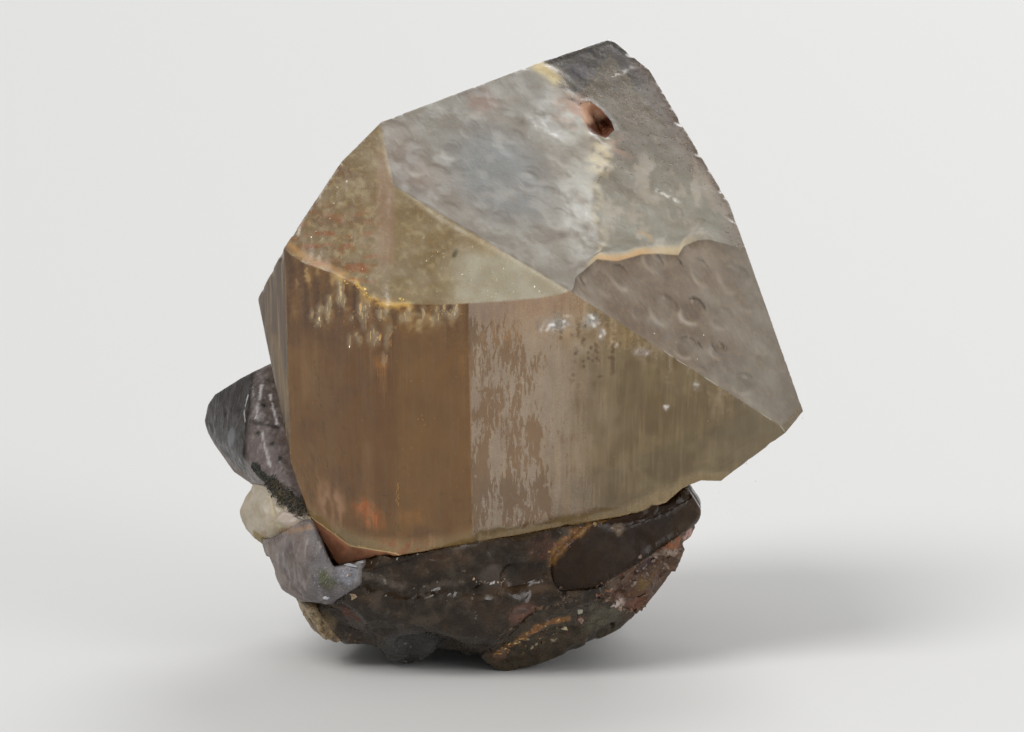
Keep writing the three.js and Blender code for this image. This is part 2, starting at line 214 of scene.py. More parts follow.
# direction each face points, as azimuth from the front and slope from straight up, in degrees
FACES = {
    "C": (12.003, 91.490), "B2": (8.835, 91.557), "B1": (-20.009, 91.928), "A": (-62.029, 91.615),
    "D1": (8.343, 57.559), "D2": (-1.751, 57.162), "D3": (17.022, 35.966), "E": (33.628, 37.889), "G": (37.626, 57.358),
    "S1": (-94.789, 58.195), "S2": (-100.991, 54.621), "U": (-111.990, 109.164), "R1": (89.204, 70.483), "R3": (100.996, 69.790),
    "T1": (-125.0, 62.125), "T2": (-127.0, 61.472), "K": (140.0, 74.169), "H": (44.092, 68.952), "V": (99.997, 144.773),
    "Z1": (82.206, 171.611), "Z2": (106.920, 161.037), "Z0": (86.905, 159.672), "W1": (-40.434, 120.166), "W2": (-24.445, 131.266),
    "BK": (173.998, 88.195), "RL": (176.0, 121.0), "RB": (137.0, 93.0), "RU": (-158.0, 70.0), "VL": (128.0, 118.0),
}


def direction(azimuth, slope):
    a, s = math.radians(azimuth), math.radians(slope)
    return np.array([math.sin(s) * math.sin(a), -math.sin(s) * math.cos(a), math.cos(s)])


FACE_NORMALS = {name: direction(*angles) for name, angles in FACES.items()}
# how far apart the points of each face's mesh are, mm; other faces get 0.62
STEPS = {"C": 0.36, "B2": 0.38, "B1": 0.38, "A": 0.38, "D1": 0.31, "D2": 0.31, "D3": 0.31, "E": 0.25, "G": 0.25, "H": 0.3,
         "W1": 0.32, "W2": 0.32, "S1": 0.45, "S2": 0.45, "R1": 0.45, "R3": 0.45, "U": 0.45, "pit": 0.22}
RIM = 0.13


def flat_groups(node):
    """The flat faces of a CAD solid: (normal, offset, [edges as point index pairs], ...) and the merged points in mm."""
    bm = bmesh.new()
    bm.from_mesh(node.data)
    bmesh.ops.remove_doubles(bm, verts=bm.verts, dist=2e-6)
    bm.faces.ensure_lookup_table()
    bm.verts.index_update()
    bm.faces.index_update()
    group = [-1] * len(bm.faces)
    faces = []
    for f in bm.faces:
        if group[f.index] >= 0 or f.calc_area() < 1e-12:
            continue
        n, todo, members = f.normal.copy(), [f], []
        group[f.index] = len(faces)
        while todo:
            g = todo.pop()
            members.append(g)
            for e in g.edges:
                for h in e.link_faces:
                    if group[h.index] < 0 and (h.normal.dot(n) > 0.99999 or h.calc_area() < 1e-12):
                        group[h.index] = len(faces)
                        todo.append(h)
        big = max(members, key=lambda m: m.calc_area())
        faces.append([np.array(big.normal), big.index, []])
    for e in bm.edges:
        a, b = (group[f.index] for f in e.link_faces)
        if a != b:
            pair = tuple(v.index for v in e.verts)
            faces[a][2].append(pair)
            faces[b][2].append(pair)
    points = np.array([v.co for v in bm.verts]) / MM
    out = []
    for n, biggest, edges in faces:
        corner = np.array(bm.faces[biggest].verts[0].co) / MM
        out.append((n, float(corner @ n), edges))
    bm.free()
    return points, out


def topaz_mesh(seed=3):
    """The topaz's faces as one fine closed mesh: points, triangles, each triangle's face, each point's face (-1 on an
    edge), each point's distance from its face's border, the faces' names and their flat groups."""
    rng = np.random.RandomState(seed)
    corners, groups = flat_groups(NODES["topaz_crystal"])
    names = []
    for n, _, _ in groups:
        best = max(FACE_NORMALS, key=lambda k: FACE_NORMALS[k] @ n)
        names.append(best if FACE_NORMALS[best] @ n > math.cos(math.radians(1.2)) else "pit")
    points = [p for p in corners]
    on_edge = {}
    edge_faces = {}
    for g, (_, _, edges) in enumerate(groups):
        for pair in edges:
            edge_faces.setdefault(tuple(sorted(pair)), []).append(g)
    for (a, b), owners in edge_faces.items():
        step = min(STEPS.get(names[g], 0.62) for g in owners)
        pa, pb = corners[a], corners[b]
        count = max(1, int(round(np.linalg.norm(pb - pa) / step)))
        row = [a]
        for k in range(1, count):
            row.append(len(points))
            points.append(pa + (pb - pa) * k / count)
        row.append(b)
        on_edge[(a, b)] = row
    triangles, owner = [], []
    face_of = [-1] * len(points)
    border = [0.0] * len(points)
    for g, (n, offset, edges) in enumerate(groups):
        u = np.cross([0, 0, 1.0], n)
        u = u / np.linalg.norm(u) if np.linalg.norm(u) > 1e-3 else np.array([1.0, 0, 0])
        v = np.cross(n, u)
        step = STEPS.get(names[g], 0.62)
        rows = [on_edge[tuple(sorted(pair))] for pair in {tuple(sorted(e)) for e in edges}]
        ids = sorted({i for row in rows for i in row})
        local = {i: k for k, i in enumerate(ids)}
        flat = np.array([[points[i] @ u, points[i] @ v] for i in ids])
        segments = [(local[a], local[b]) for row in rows for a, b in zip(row[:-1], row[1:])]
        ends = np.array([[corners[r[0]] @ u, corners[r[0]] @ v, corners[r[-1]] @ u, corners[r[-1]] @ v] for r in rows])

        def edge_distance(q):
            d = np.full(len(q), 1e9)
            for x0, y0, x1, y1 in ends:
                e = np.array([x1 - x0, y1 - y0])
                t = np.clip(((q[:, 0] - x0) * e[0] + (q[:, 1] - y0) * e[1]) / (e @ e), 0, 1)
                d = np.minimum(d, np.hypot(q[:, 0] - x0 - t * e[0], q[:, 1] - y0 - t * e[1]))
            return d

        def within(q):
            hit = np.zeros(len(q), bool)
            for x0, y0, x1, y1 in ends:
                if y0 == y1:
                    continue
                cross = (y0 > q[:, 1]) != (y1 > q[:, 1])
                hit ^= cross & (q[:, 0] < (x1 - x0) * (q[:, 1] - y0) / (y1 - y0) + x0)
            return hit

        low, high = flat.min(0), flat.max(0)
        xs = np.arange(low[0], high[0] + step, step)
        ys = np.arange(low[1], high[1] + step, step * 0.866)
        gx, gy = np.meshgrid(xs, ys)
        gx = gx + (np.arange(len(ys)) % 2)[:, None] * step / 2
        q = np.stack([gx.ravel(), gy.ravel()], 1)
        q += rng.uniform(-0.16, 0.16, q.shape) * step
        d = edge_distance(q)
        q = q[within(q) & (d > max(0.55 * step, 2.0 * RIM) if names[g] != "pit" else within(q) & (d > 0.5 * step))]
        rim = []
        for x0, y0, x1, y1 in ends:
            e = np.array([x1 - x0, y1 - y0])
            size = math.hypot(*e)
            count = max(1, int(round(size / step)))
            t = (np.arange(count) + 0.5) / count
            mid = np.array([x0, y0]) + t[:, None] * e
            for sgn in (1, -1):
                rim.append(mid + sgn * RIM * np.array([-e[1], e[0]]) / size)
        rim = np.vstack(rim)
        rim = rim[within(rim) & (edge_distance(rim) > 0.9 * RIM)] if names[g] != "pit" else rim[:0]
        q = np.vstack([q, rim])
        base = len(points)
        height = offset
        for x, y in q:
            points.append(u * x + v * y + n * height)
        face_of += [g] * len(q)
        border += list(edge_distance(q)) if len(q) else []
        every = ids + list(range(base, base + len(q)))
        cdt = geometry.delaunay_2d_cdt([Vector(p) for p in np.vstack([flat, q])], segments, [], 0, 1e-7, True)
        source = [o[0] if o else -1 for o in cdt[3]]
        tri = np.array([[source[i] for i in f] for f in cdt[2] if len(f) == 3])
        tri = tri[(tri >= 0).all(1)]
        pts = np.vstack([flat, q])
        centre = pts[tri].mean(1)
        tri = tri[within(centre)]
        a, b, c = pts[tri[:, 0]], pts[tri[:, 1]], pts[tri[:, 2]]
        turn = (b[:, 0] - a[:, 0]) * (c[:, 1] - a[:, 1]) - (b[:, 1] - a[:, 1]) * (c[:, 0] - a[:, 0])
        tri = tri[np.abs(turn) > 1e-9]
        turn = turn[np.abs(turn) > 1e-9]
        tri = np.where((turn < 0)[:, None], tri[:, ::-1], tri)
        every = np.array(every)
        triangles.append(every[tri])
        owner += [g] * len(tri)
    return (np.array(points), np.vstack(triangles), np.array(owner), np.array(face_of), np.array(border), names, groups)


points, triangles, owner, face_of, border, face_names, face_groups = topaz_mesh()
used, triangles = np.unique(triangles, return_inverse=True)
triangles = triangles.reshape(-1, 3)
points, face_of, border = points[used], face_of[used], border[used]
print("topaz", len(points), len(triangles))


# ------------------------------------------------------------------ the topaz's relief

def pits(st, rng, count, sizes, aspect, depth, lean, rim=0.3, where=None):
    """Etch pits on a face: the height (0 or less) at each in-face point. Each pit is a shield whose floor dips towards a
    steep crescent at its upper end and runs out level at the lower one. lean turns them from the slope line, in degrees.
    where gives the pits' own places and half widths instead of random ones."""
    low, high = st.min(0), st.max(0)
    h = np.zeros(len(st))
    for k in range(count if where is None else len(where)):
        if where is None:
            c = rng.uniform(low, high)
            a = sizes[0] + (sizes[1] - sizes[0]) * rng.rand() ** 2.0
        else:
            c, a = np.array(where[k][:2]), where[k][2]
        tall = a * aspect * rng.uniform(0.75, 1.3)
        turn = math.radians(lean + rng.normal() * 9)
        amount = depth * a * rng.uniform(0.45, 1.1)
        reach = max(a, tall)
        near = (np.abs(st[:, 0] - c[0]) < reach) & (np.abs(st[:, 1] - c[1]) < reach)
        if not near.any():
            continue
        d = st[near] - c
        x = (d[:, 0] * math.cos(turn) + d[:, 1] * math.sin(turn)) / a
        y = (-d[:, 0] * math.sin(turn) + d[:, 1] * math.cos(turn)) / tall
        r = np.hypot(x * (1.0 + 0.35 * np.clip(-y, 0, 1)), y)
        h[near] = np.minimum(h[near], -amount * (0.5 + 0.5 * np.clip(y, -1, 1)) * (1 - smooth(1 - rim, 1.0, r)))
    return h


# outlines and lines of the frame (pixels) that the relief and the colours follow
SHOULDER_LINE = [(276, 246), (284, 250), (301, 262), (316.5, 268), (332, 273), (347, 280.5), (359, 287), (368.6, 296.5),
                 (387, 306), (408, 304), (439, 305), (468, 303.4), (510, 300.5), (540, 298), (570, 292)]
STEP_LINE = [(566, 287), (571.6, 282.6), (590, 272.6), (611, 259), (628, 261), (653, 254), (666, 253.6), (683.5, 255),
             (693, 246), (709, 240), (719, 239.5), (745, 250)]
HEAL_LINE = [(532, 60), (546, 66), (564, 85), (575, 103), (585, 121), (597, 140), (605, 152), (608, 165), (596.5, 180),
             (595.6, 211), (600, 240), (606, 262)]

# the larger pits: x, y and radius in pixels of the frame, and how strongly they show
PITS_G = [(693, 311, 14, 1.0), (665, 311, 15, 0.6), (628, 288, 9, 0.7), (662, 274, 9, 0.6), (592, 286, 8, 0.5), (686, 347, 12, 0.8),
          (719, 350, 9, 0.5), (743, 383, 12, 0.5), (735, 279, 15, 0.4), (706, 279, 10, 0.6), (748, 302, 10, 0.3), (640, 312, 8, 0.4),
          (700, 375, 9, 0.3), (722, 318, 12, 0.35), (765, 345, 10, 0.25), (612, 297, 7, 0.4)]
PITS_E = [(452, 150, 11, 0.9), (498, 94, 12, 0.7), (530, 178, 13, 0.7), (550, 192, 10, 0.6), (418, 162, 14, 0.8), (558, 218, 11, 0.7),
          (542, 264, 10, 0.5), (484, 196, 12, 0.5), (470, 128, 10, 0.5), (512, 142, 14, 0.5), (500, 222, 12, 0.6), (440, 190, 9, 0.5),
          (524, 240, 9, 0.5), (566, 158, 9, 0.5), (536, 118, 10, 0.4), (430, 122, 9, 0.4), (580, 232, 9, 0.5), (462, 172, 8, 0.5)]
PITS_F = [(664, 190, 9, 0.8), (650, 168, 7, 0.7), (640, 215, 9, 0.6), (676, 214, 8, 0.6), (630, 180, 7, 0.6), (700, 226, 8, 0.6), (660, 136, 7, 0.6),
          (620, 232, 8, 0.5), (690, 190, 6, 0.6)]

count = len(points)
uv = seen_at(points)
rng = np.random.RandomState(5)
is_edge = face_of < 0
name_of = np.array([face_names[g] if g >= 0 else "edge" for g in face_of])
cross = np.cross(points[triangles[:, 1]] - points[triangles[:, 0]], points[triangles[:, 2]] - points[triangles[:, 0]])
cross /= np.linalg.norm(cross, axis=1, keepdims=True)
outward = np.zeros((count, 3))
for k in range(3):
    np.add.at(outward, triangles[:, k], cross)
outward /= np.maximum(np.linalg.norm(outward, axis=1, keepdims=True), 1e-9)
touches = {}
for k in range(3):
    for i, g in zip(triangles[:, k], owner):
        if is_edge[i]:
            touches.setdefault(int(i), set()).add(face_names[g])



def seated_pits(table, n, offset, u, v):
    return [(P_ @ u, P_ @ v, r * 0.125 * k ** 0.3) for (x, y, r, k) in table for P_ in on_plane((x, y), n, offset)]


height = np.zeros(count)
east_of_heal = np.zeros(count)
d_heal, _, side_heal = line_distance(uv, HEAL_LINE)
step_ids = np.array([i for i, names in touches.items() if {"E", "G"} <= names])
step_uv = uv[step_ids[np.argsort(uv[step_ids, 0])]][::4]
d_edge = line_distance(uv, step_uv)[0]
for g, (n, offset, _) in enumerate(face_groups):
    me = face_of == g
    if not me.any():
        continue
    u = np.cross([0, 0, 1.0], n)
    u = u / np.linalg.norm(u) if np.linalg.norm(u) > 1e-3 else np.array([1.0, 0, 0])
    v = np.cross(n, u)
    P, q, name = points[me], uv[me], face_names[g]
    s, t = P @ u, P @ v
    st, flat = np.stack([s, t], 1), s * 0
    h = np.zeros(len(P))
    if name == "E":
        east = smooth(-5.0, 5.0, side_heal[me] * d_heal[me] + 5.0 * perlin(P * 0.6, 3))
        east_of_heal[me] = east
        broad = pits(st, rng, 150, (0.6, 1.9), 1.15, 0.040, -18)
        small = pits(st, rng, 480, (0.42, 0.95), 1.2, 0.045, -15)
        narrow = pits(st, rng, 300, (0.55, 1.4), 2.0, 0.06, -30)
        big = pits(st, rng, 0, (1, 1), 1.05, 0.042, -20, 0.34, seated_pits(PITS_E + PITS_F, n, offset, u, v))
        h = (1 - east) * (0.8 * broad + 0.35 * small) + east * (0.45 * narrow + 0.3 * small - 0.05) + 0.03 * fbm(P * 0.25, 2, 8)
        h = np.minimum(h, big)
        h += 0.09 * np.exp(-(d_heal[me] / 6.0) ** 2) * (0.5 + perlin(P * 0.5, 7))
        h *= 0.15 + 0.85 * smooth(2, 16, d_edge[me])
    elif name == "G":
        h = np.minimum(pits(st, rng, 90, (0.5, 1.5), 1.0, 0.07, -30), pits(st, rng, 0, (1, 1), 1.0, 0.26, -35, 0.32, seated_pits(PITS_G, n, offset, u, v)))
        h += 0.6 * pits(st, rng, 500, (0.25, 0.8), 1.1, 0.07, -25)
        h = (h + 0.04 * fbm(P * 0.35, 3, 9)) * (0.55 + 0.45 * (1 - smooth(710, 790, q[:, 0])))
    elif name in ("D1", "D2", "D3"):
        h = 0.5 * pits(st, rng, 500, (0.25, 1.0), 1.5, 0.07, 0)
        h += 0.02 * perlin(np.stack([s * 1.4, t * 0.25, flat], 1), 21) + 0.03 * fbm(P * 0.5, 3, 5)
    elif name in ("C", "B1", "B2", "A"):
        h = 0.010 * perlin(np.stack([s * 2.6, t * 0.04, flat], 1), 31)
        h += 0.008 * perlin(np.stack([s * 0.7, t * 0.03, flat], 1), 33) + 0.005 * fbm(P * 0.8, 2, 6)
        if name != "C":
            for x, tall in ((342, 0.030), (397, -0.035), (371, 0.012), (430, 0.012)):
                h += tall * smooth(-1.3, 1.3, q[:, 0] - x - 1.2 * perlin(np.stack([flat, flat, t * 0.12], 1), int(x)))
        if name == "C":
            etched = smooth(468, 472, q[:, 0]) * (1 - smooth(560, 600, q[:, 0] + 10 * perlin(P * 0.3, 12)))
            dash = perlin(np.stack([s * 2.0, t * 0.28, flat], 1), 35) + 0.5 * perlin(np.stack([s * 4.2, t * 0.6, flat], 1), 36)
            h -= 0.035 * etched * smooth(0.15, 0.45, dash)
            low_edge = np.interp(q[:, 0], [470, 520, 560, 600, 640, 700], [534, 527, 519, 510, 498, 470])
            h -= 0.16 * smooth(-4, 5, q[:, 1] - low_edge + 5 * perlin(P * 0.6, 13)) * smooth(466, 480, q[:, 0])
    elif name in ("W1", "W2"):
        h = 0.05 * fbm(P * 0.7, 4, 14) - 0.04 * np.abs(perlin(P * 1.3, 15))
    elif name in ("S1", "S2", "T1", "T2", "R1", "R3", "K", "H"):
        h = 0.9 * pits(st, rng, 350, (0.4, 1.8), 1.4, 0.07, 0) + 0.03 * fbm(P * 0.4, 3, 17)
    elif name in ("BK", "RB", "RU"):
        h = 0.04 * perlin(np.stack([s * 0.9, t * 0.05, flat], 1), 41) + 0.025 * perlin(np.stack([s * 2.4, t * 0.08, flat], 1), 42)
        h += 0.6 * pits(st, rng, 220, (0.5, 1.8), 1.8, 0.06, 0)
    elif name in ("RL", "VL", "V", "U", "Z0", "Z1", "Z2"):
        h = 0.14 * fbm(P * 0.45, 4, 19) - 0.10 * np.abs(perlin(P * 0.9, 20)) + 0.5 * pits(st, rng, 120, (0.8, 2.6), 1.1, 0.12, 0)
    elif name == "pit":
        h = -0.10 * np.abs(perlin(P * 1.6, 22)) - 0.07 * perlin(P * 3.2, 23)
    height[me] = h * smooth(0.02, 0.8, border[me])

# the hollow near the top has a ragged mouth
mouth = np.array([np.mean([points[i] for i in np.where(name_of == "pit")[0]], 0)])[0]
ragged = 1 - smooth(1.8, 5.0, np.linalg.norm(points - mouth, axis=1))
shake = np.stack([perlin(points * 0.5, 54), perlin(points * 0.5, 55), perlin(points * 0.5, 56)], 1) * 0.6
shake += np.stack([perlin(points * 1.5, 57), perlin(points * 1.5, 58), perlin(points * 1.5, 59)], 1) * 0.12
on_e = np.array([bool({"E"} & touches.get(i, set())) for i in range(count)]) | (name_of == "E")
away = points - mouth
away -= FACE_NORMALS["E"] * (away @ FACE_NORMALS["E"])[:, None]
away /= np.maximum(np.linalg.norm(away, axis=1, keepdims=True), 1e-6)
shake += away * (0.45 * perlin(away * 1.2, 60) * smooth(0.2, 1.6, np.linalg.norm(points - mouth, axis=1)))[:, None]
shake[on_e] -= FACE_NORMALS["E"] * (shake[on_e] @ FACE_NORMALS["E"])[:, None]

# worn edges: a narrow bevel, and chips here and there
front_edge = np.array([len(touches.get(i, set()) & {"C", "B1", "B2", "A", "D1", "D2", "D3", "E", "G", "W1", "W2"}) > 1 for i in range(count)])
wear = (0.035 + 0.05 * smooth(-0.3, 0.6, perlin(points * 0.5, 51))) * np.where(front_edge, 0.35, 1.0)
wear *= np.array([0.0 if touches.get(i, set()) & {"pit"} or {"E", "G"} <= touches.get(i, set()) else 1.0 for i in range(count)])
moved = points + outward * np.where(is_edge, -wear, height)[:, None] + shake * ragged[:, None]
edge_ids = np.where(is_edge)[0]
for i in rng.choice(edge_ids[~front_edge[edge_ids]], 170, replace=False):
    r = 0.3 + 0.7 * rng.rand() ** 3
    d = np.linalg.norm(points - points[i], axis=1)
    near = d < r
    moved[near] -= outward[i] * (0.30 * r * (1 - (d[near] / r) ** 2))[:, None] * rng.uniform(0.3, 1.0)


def follow(line, upper, lower, along, reach, lead):
    """Bends the edge between the upper and the lower faces so that it follows a line of the frame. The points move
    along one direction, less and less away from the edge, in pixels of reach, and the bend begins within lead pixels."""
    line = np.asarray(line, float)
    ids = np.array([i for i, names in touches.items() if names & upper and names & lower])
    order = ids[np.argsort(uv[ids, 0])]
    ex, ey = uv[order, 0], uv[order, 1]
    me = np.isin(name_of, list(upper | lower)) | np.isin(np.arange(count), ids)
    me &= (uv[:, 0] > ex[0]) & (uv[:, 0] < ex[-1])
    edge_y = np.interp(uv[:, 0], ex, ey)
    goal = np.interp(uv[:, 0], line[:, 0], line[:, 1])
    ends = smooth(ex[0], ex[0] + lead, uv[:, 0]) * (1 - smooth(ex[-1] - 6, ex[-1], uv[:, 0]))
    weight = np.exp(-((uv[:, 1] - edge_y) / reach) ** 2) * ends * me
    per_pixel = (seen_at(points + along) - uv)[:, 1]
    moved[:] += along * (weight * (goal - edge_y) / per_pixel)[:, None]
    return float(np.abs(goal - edge_y)[me].max())


shoulders, prism = {"D1", "D2"}, {"C", "B1", "B2", "A"}
down_e = direction(33.628, 37.889 + 90)
print("bent", follow(SHOULDER_LINE, shoulders, prism, np.array([0, 0, -1.0]), 14, 6),
      follow(STEP_LINE, {"E"}, {"G"}, down_e, 24, 15))

# ------------------------------------------------------------------ the topaz's colours, roughness and clearness

tint = np.tile(lin(190, 165, 125), (count, 1))
rough = np.full(count, 0.12)
clear = np.full(count, 0.85)
etch = np.zeros(count)
frost = np.zeros(count)


def paint(mask, colour=None, rough_to=None, clear_to=None):
    """Blends the colour, roughness and clearness towards the given ones where mask is above 0."""
    m = np.clip(mask, 0, 1)
    if colour is not None:
        tint[:] = tint * (1 - m)[:, None] + np.asarray(colour) * m[:, None]
    if rough_to is not None:
        rough[:] = rough * (1 - m) + rough_to * m
    if clear_to is not None:
        clear[:] = clear * (1 - m) + clear_to * m


def cloud(fx, fy, fz, seed, low=0.0, high=0.5, octaves=4, gain=0.55):
    """0 to 1 patches of noise, as wide as 1 / (fx, fy, fz) mm."""
    return smooth(low, high, fbm(points * [fx, fy, fz], octaves, seed, gain))


def near_line(line, width):
    return np.exp(-(line_distance(uv, line)[0] / width) ** 2)


def crescents(mask, table, dark, light, strength, lean=-55.0):
    """Painted shade over each pit's floor and in the crescent at its upper right, and a painted highlight along its
    lower left.
    """
    for k, (x, y, r, amount) in enumerate(table):
        amount *= strength
        dx, dy = u_ - x, v_ - y
        d = np.hypot(dx, dy) * (1 + 0.10 * perlin(points * 0.9, 90 + k))
        way = np.cos(np.arctan2(dy, dx) - math.radians(lean + 20 * math.sin(k * 2.4)))
        ring = smooth(0.66 * r, 0.86 * r, d) * (1 - smooth(0.94 * r, 1.03 * r, d))
        paint(mask * (1 - smooth(0.5 * r, 0.9 * r, d)) * 0.22 * amount, dark)
        paint(mask * ring * smooth(0.35, 0.95, way) * min(1.0, 1.1 * amount), dark, None, 0.2)
        paint(mask * np.exp(-((d - 0.95 * r) / (0.12 * r + 0.5)) ** 2) * smooth(0.3, 0.95, -way) * 0.75 * amount, light, None, 0.2)


u_, v_ = uv[:, 0], uv[:, 1]
wob = 6 * perlin(points * 0.5, 63)
is_ = lambda *names: np.isin(name_of, names).astype(float)
B, C, D, E, G = is_("B1", "B2"), is_("C"), is_("D1", "D2", "D3"), is_("E"), is_("G")
west = E * (1 - east_of_heal)
east = E * east_of_heal

# golden slivers hang below the shoulder edge, inside the prism faces: x, y of the frame and half length in mm
strew = np.random.RandomState(37)
SLIVERS = [(cx + strew.normal() * sx, cy + strew.normal() * sy, strew.uniform(0.25, 0.95))
           for cx, cy, sx, sy, number in [(338, 293, 3.0, 8, 9), (318, 317, 3, 5, 5), (329, 302, 6, 9, 6), (360, 322, 6, 12, 10), (380, 330, 8, 13, 12),
                                          (447, 311, 5, 3, 8), (404, 320, 14, 6, 6), (436, 318, 8, 5, 5)] for _ in range(number)]

# the two broad prism faces at the left: clear orange brown
paint(B, lin(200, 142, 54), 0.06, 0.84)
paint(B * smooth(352, 334, u_) * 0.5, lin(204, 158, 96))
paint(B * smooth(395, 400, u_) * 0.85, lin(222, 164, 72))
paint(B * smooth(352, 300, v_) * cloud(0.9, 0.9, 0.14, 201, -0.2, 0.4) * 0.8, lin(120, 80, 36), 0.10)
# painted glow of the golden glints near the top of the prism faces: lighter golden clouds and soft patches
paint(B * smooth(345, 290, v_) * cloud(0.8, 0.8, 0.25, 202, 0.15, 0.6) * 0.8, lin(232, 196, 128), 0.12, 0.5)
paint(B * np.maximum(blob(uv, 345, 290, 12, 16), np.maximum(blob(uv, 420, 322, 26, 14), 0.7 * blob(uv, 448, 322, 10, 14))) * cloud(1.1, 1.1, 0.5, 217, -0.2, 0.4) * 0.7,
      lin(246, 220, 160), 0.14, 0.5)
paint(B * cloud(0.5, 0.5, 0.06, 203, 0.25, 0.6) * 0.35, lin(212, 168, 118), None, 0.7)
paint(B * cloud(0.12, 0.12, 0.2, 204, 0.2, 0.6) * 0.4, lin(150, 104, 60))
stain = np.maximum(blob(uv, 369, 514, 27, 16, 48), 0.3 * blob(uv, 410, 518, 28, 12, -10)) * B
paint(stain * (0.2 + 0.8 * cloud(1.5, 1.5, 0.6, 205, -0.25, 0.35)) * 0.9, lin(206, 108, 48), 0.14, 0.5)
paint(blob(uv, 332, 505, 20, 36, -22) * B * cloud(1.2, 1.2, 0.3, 206, -0.3, 0.4) * 0.6, lin(232, 182, 150), 0.12, 0.55)
# painted glint: the skin over each golden sliver sealed beneath is painted pale
for x, y, long_ in SLIVERS:
    paint(B * blob(uv, x, y, 3.2, 4 + 8 * long_) * 0.72, lin(250, 232, 190), 0.12, 0.74)
bottom = np.interp(u_, [300, 312, 345, 385, 428, 470, 540], [510, 517, 540, 549, 549, 541, 531])
paint(B * smooth(16, 2, bottom - v_ + wob * 0.5) * 0.8, lin(188, 168, 120), 0.2, 0.6)
red_edge = B * smooth(15, 4, bottom - v_ + wob) * smooth(376, 388, u_) * smooth(442, 424, u_)
paint(red_edge * cloud(1.3, 1.3, 1.3, 207, -0.2, 0.3) * 0.8, lin(160, 76, 44), 0.22, 0.4)
paint(is_("A"), lin(66, 46, 12), 0.20, 0.35)
paint(is_("A") * cloud(0.9, 0.9, 0.08, 208, 0.0, 0.4) * 0.5, lin(96, 70, 26))
paint(is_("A") * smooth(345, 300, v_) * 0.4, lin(88, 66, 44))
paint(is_("A") * near_line([(275, 338), (281, 372), (287, 410)], 3.5) * 0.6, lin(140, 108, 40), 0.16, 0.6)

# the prism face at the right: a pinkish etched skin whose pale colour is partly a painted sheen, painted glints near
# its upper edge, then clear olive brown
paint(C, lin(142, 127, 87), 0.16, 0.66)
paint(C * cloud(0.25, 0.25, 0.25, 218, 0.0, 0.5) * 0.4, lin(186, 170, 128), None, 0.6)
paint(C * cloud(0.4, 0.4, 0.2, 219, 0.1, 0.5) * 0.4, lin(140, 118, 74))
etched = C * smooth(467, 470, u_) * (1 - smooth(528, 636, u_ + 2.4 * wob + 22 * perlin(points * [1.6, 1.6, 0.16], 66)))
low_edge = np.interp(u_, [466, 520, 560, 600, 640, 700], [534, 527, 519, 510, 498, 470])
bare = smooth(-3, 4, v_ - low_edge + 0.8 * wob) * smooth(466, 480, u_)
etched = etched * (1 - bare)
# the etched skin's pale pinkish grey: partly the frosted skin's own colour, partly a painted sheen
paint(etched, lin(188, 171, 150), 0.28, 0.50)
etch[:] = etched * (0.52 + 0.48 * smooth(556, 524, u_ - 0.10 * (v_ - 420)) * smooth(312, 335, v_))
paint(C * bare, lin(176, 158, 118), 0.16, 0.60)
paint(C * smooth(345, 305, v_) * smooth(600, 560, u_) * 0.6, lin(190, 160, 136), None, 0.6)
top_c = C * smooth(34, 8, line_distance(uv, [(570, 300), (668, 357), (726, 391)])[0] + 2 * wob)
paint(top_c * cloud(1.5, 1.5, 0.25, 209, 0.05, 0.4) * 0.6, lin(206, 190, 160), 0.16, 0.55)
paint(C * smooth(690, 760, u_) * 0.35, lin(206, 196, 160), None, 0.8)
# painted glints near the upper edge of the prism face: a soft painted glow, the skin over the bright flakes painted
# white, and white painted glint shards
paint(C * np.maximum(blob(uv, 568, 324, 34, 17), 0.8 * blob(uv, 584, 346, 22, 12)) * 0.45, lin(206, 192, 168), None, 0.5)
for x, y, rx, ry in [(558, 324, 13, 7), (592, 321, 9, 8), (602, 334, 4, 8), (696, 386, 3, 6), (642, 352, 12, 5), (666, 407, 4, 3)]:
    paint(C * blob(uv, x, y, rx, ry) * 0.85, lin(246, 244, 238), None, 0.85)
    etch[:] = etch * (1 - 0.8 * C * blob(uv, x, y, rx, ry))
painted_glint_shards = smooth(0.05, 0.3, perlin(points * [2.3, 2.3, 1.7], 70) + 0.4 * perlin(points * [4.4, 4.4, 3.6], 71))
for x, y, rx, ry, k in [(556, 324, 12, 6, 1.0), (566, 319, 5, 4, 0.8), (592, 321, 8, 7, 1.0), (602, 335, 3.5, 8, 0.9), (696, 386, 2.5, 5, 0.9), (642, 352, 9, 4, 0.5),
                        (666, 407, 3.5, 2.5, 0.7), (548, 330, 9, 4, 0.6), (615, 344, 10, 4, 0.4)]:
    paint(C * blob(uv, x, y, rx * 1.3, ry * 1.3) * painted_glint_shards * k, lin(255, 255, 252), 0.22, 0.02)
dashes = perlin(points * [2.6, 2.6, 0.35], 67) + 0.4 * perlin(points * [5.0, 5.0, 0.7], 68)
paint(C * smooth(0.30, 0.45, dashes) * blob(uv, 588, 352, 62, 46) * 0.8, lin(104, 78, 40), None, 0.85)

# the shoulder faces: sparkling, golden at the left, a pink band that is a painted internal reflection, pale at the
# right
paint(D, lin(184, 163, 118), 0.26, 0.62)
paint(D * smooth(385, 360, u_) * 0.6, lin(176, 152, 104))
paint(D * smooth(390, 350, u_) * cloud(0.20, 0.20, 1.1, 211, 0.0, 0.4) * 0.7, lin(150, 112, 66))
paint(D * smooth(400, 360, u_) * cloud(0.28, 0.28, 1.4, 212, 0.15, 0.45) * smooth(190, 235, v_) * 0.8, lin(196, 120, 64))
paint(D * cloud(1.2, 1.2, 1.2, 213, 0.1, 0.5) * 0.45, lin(214, 198, 152), None, 0.45)
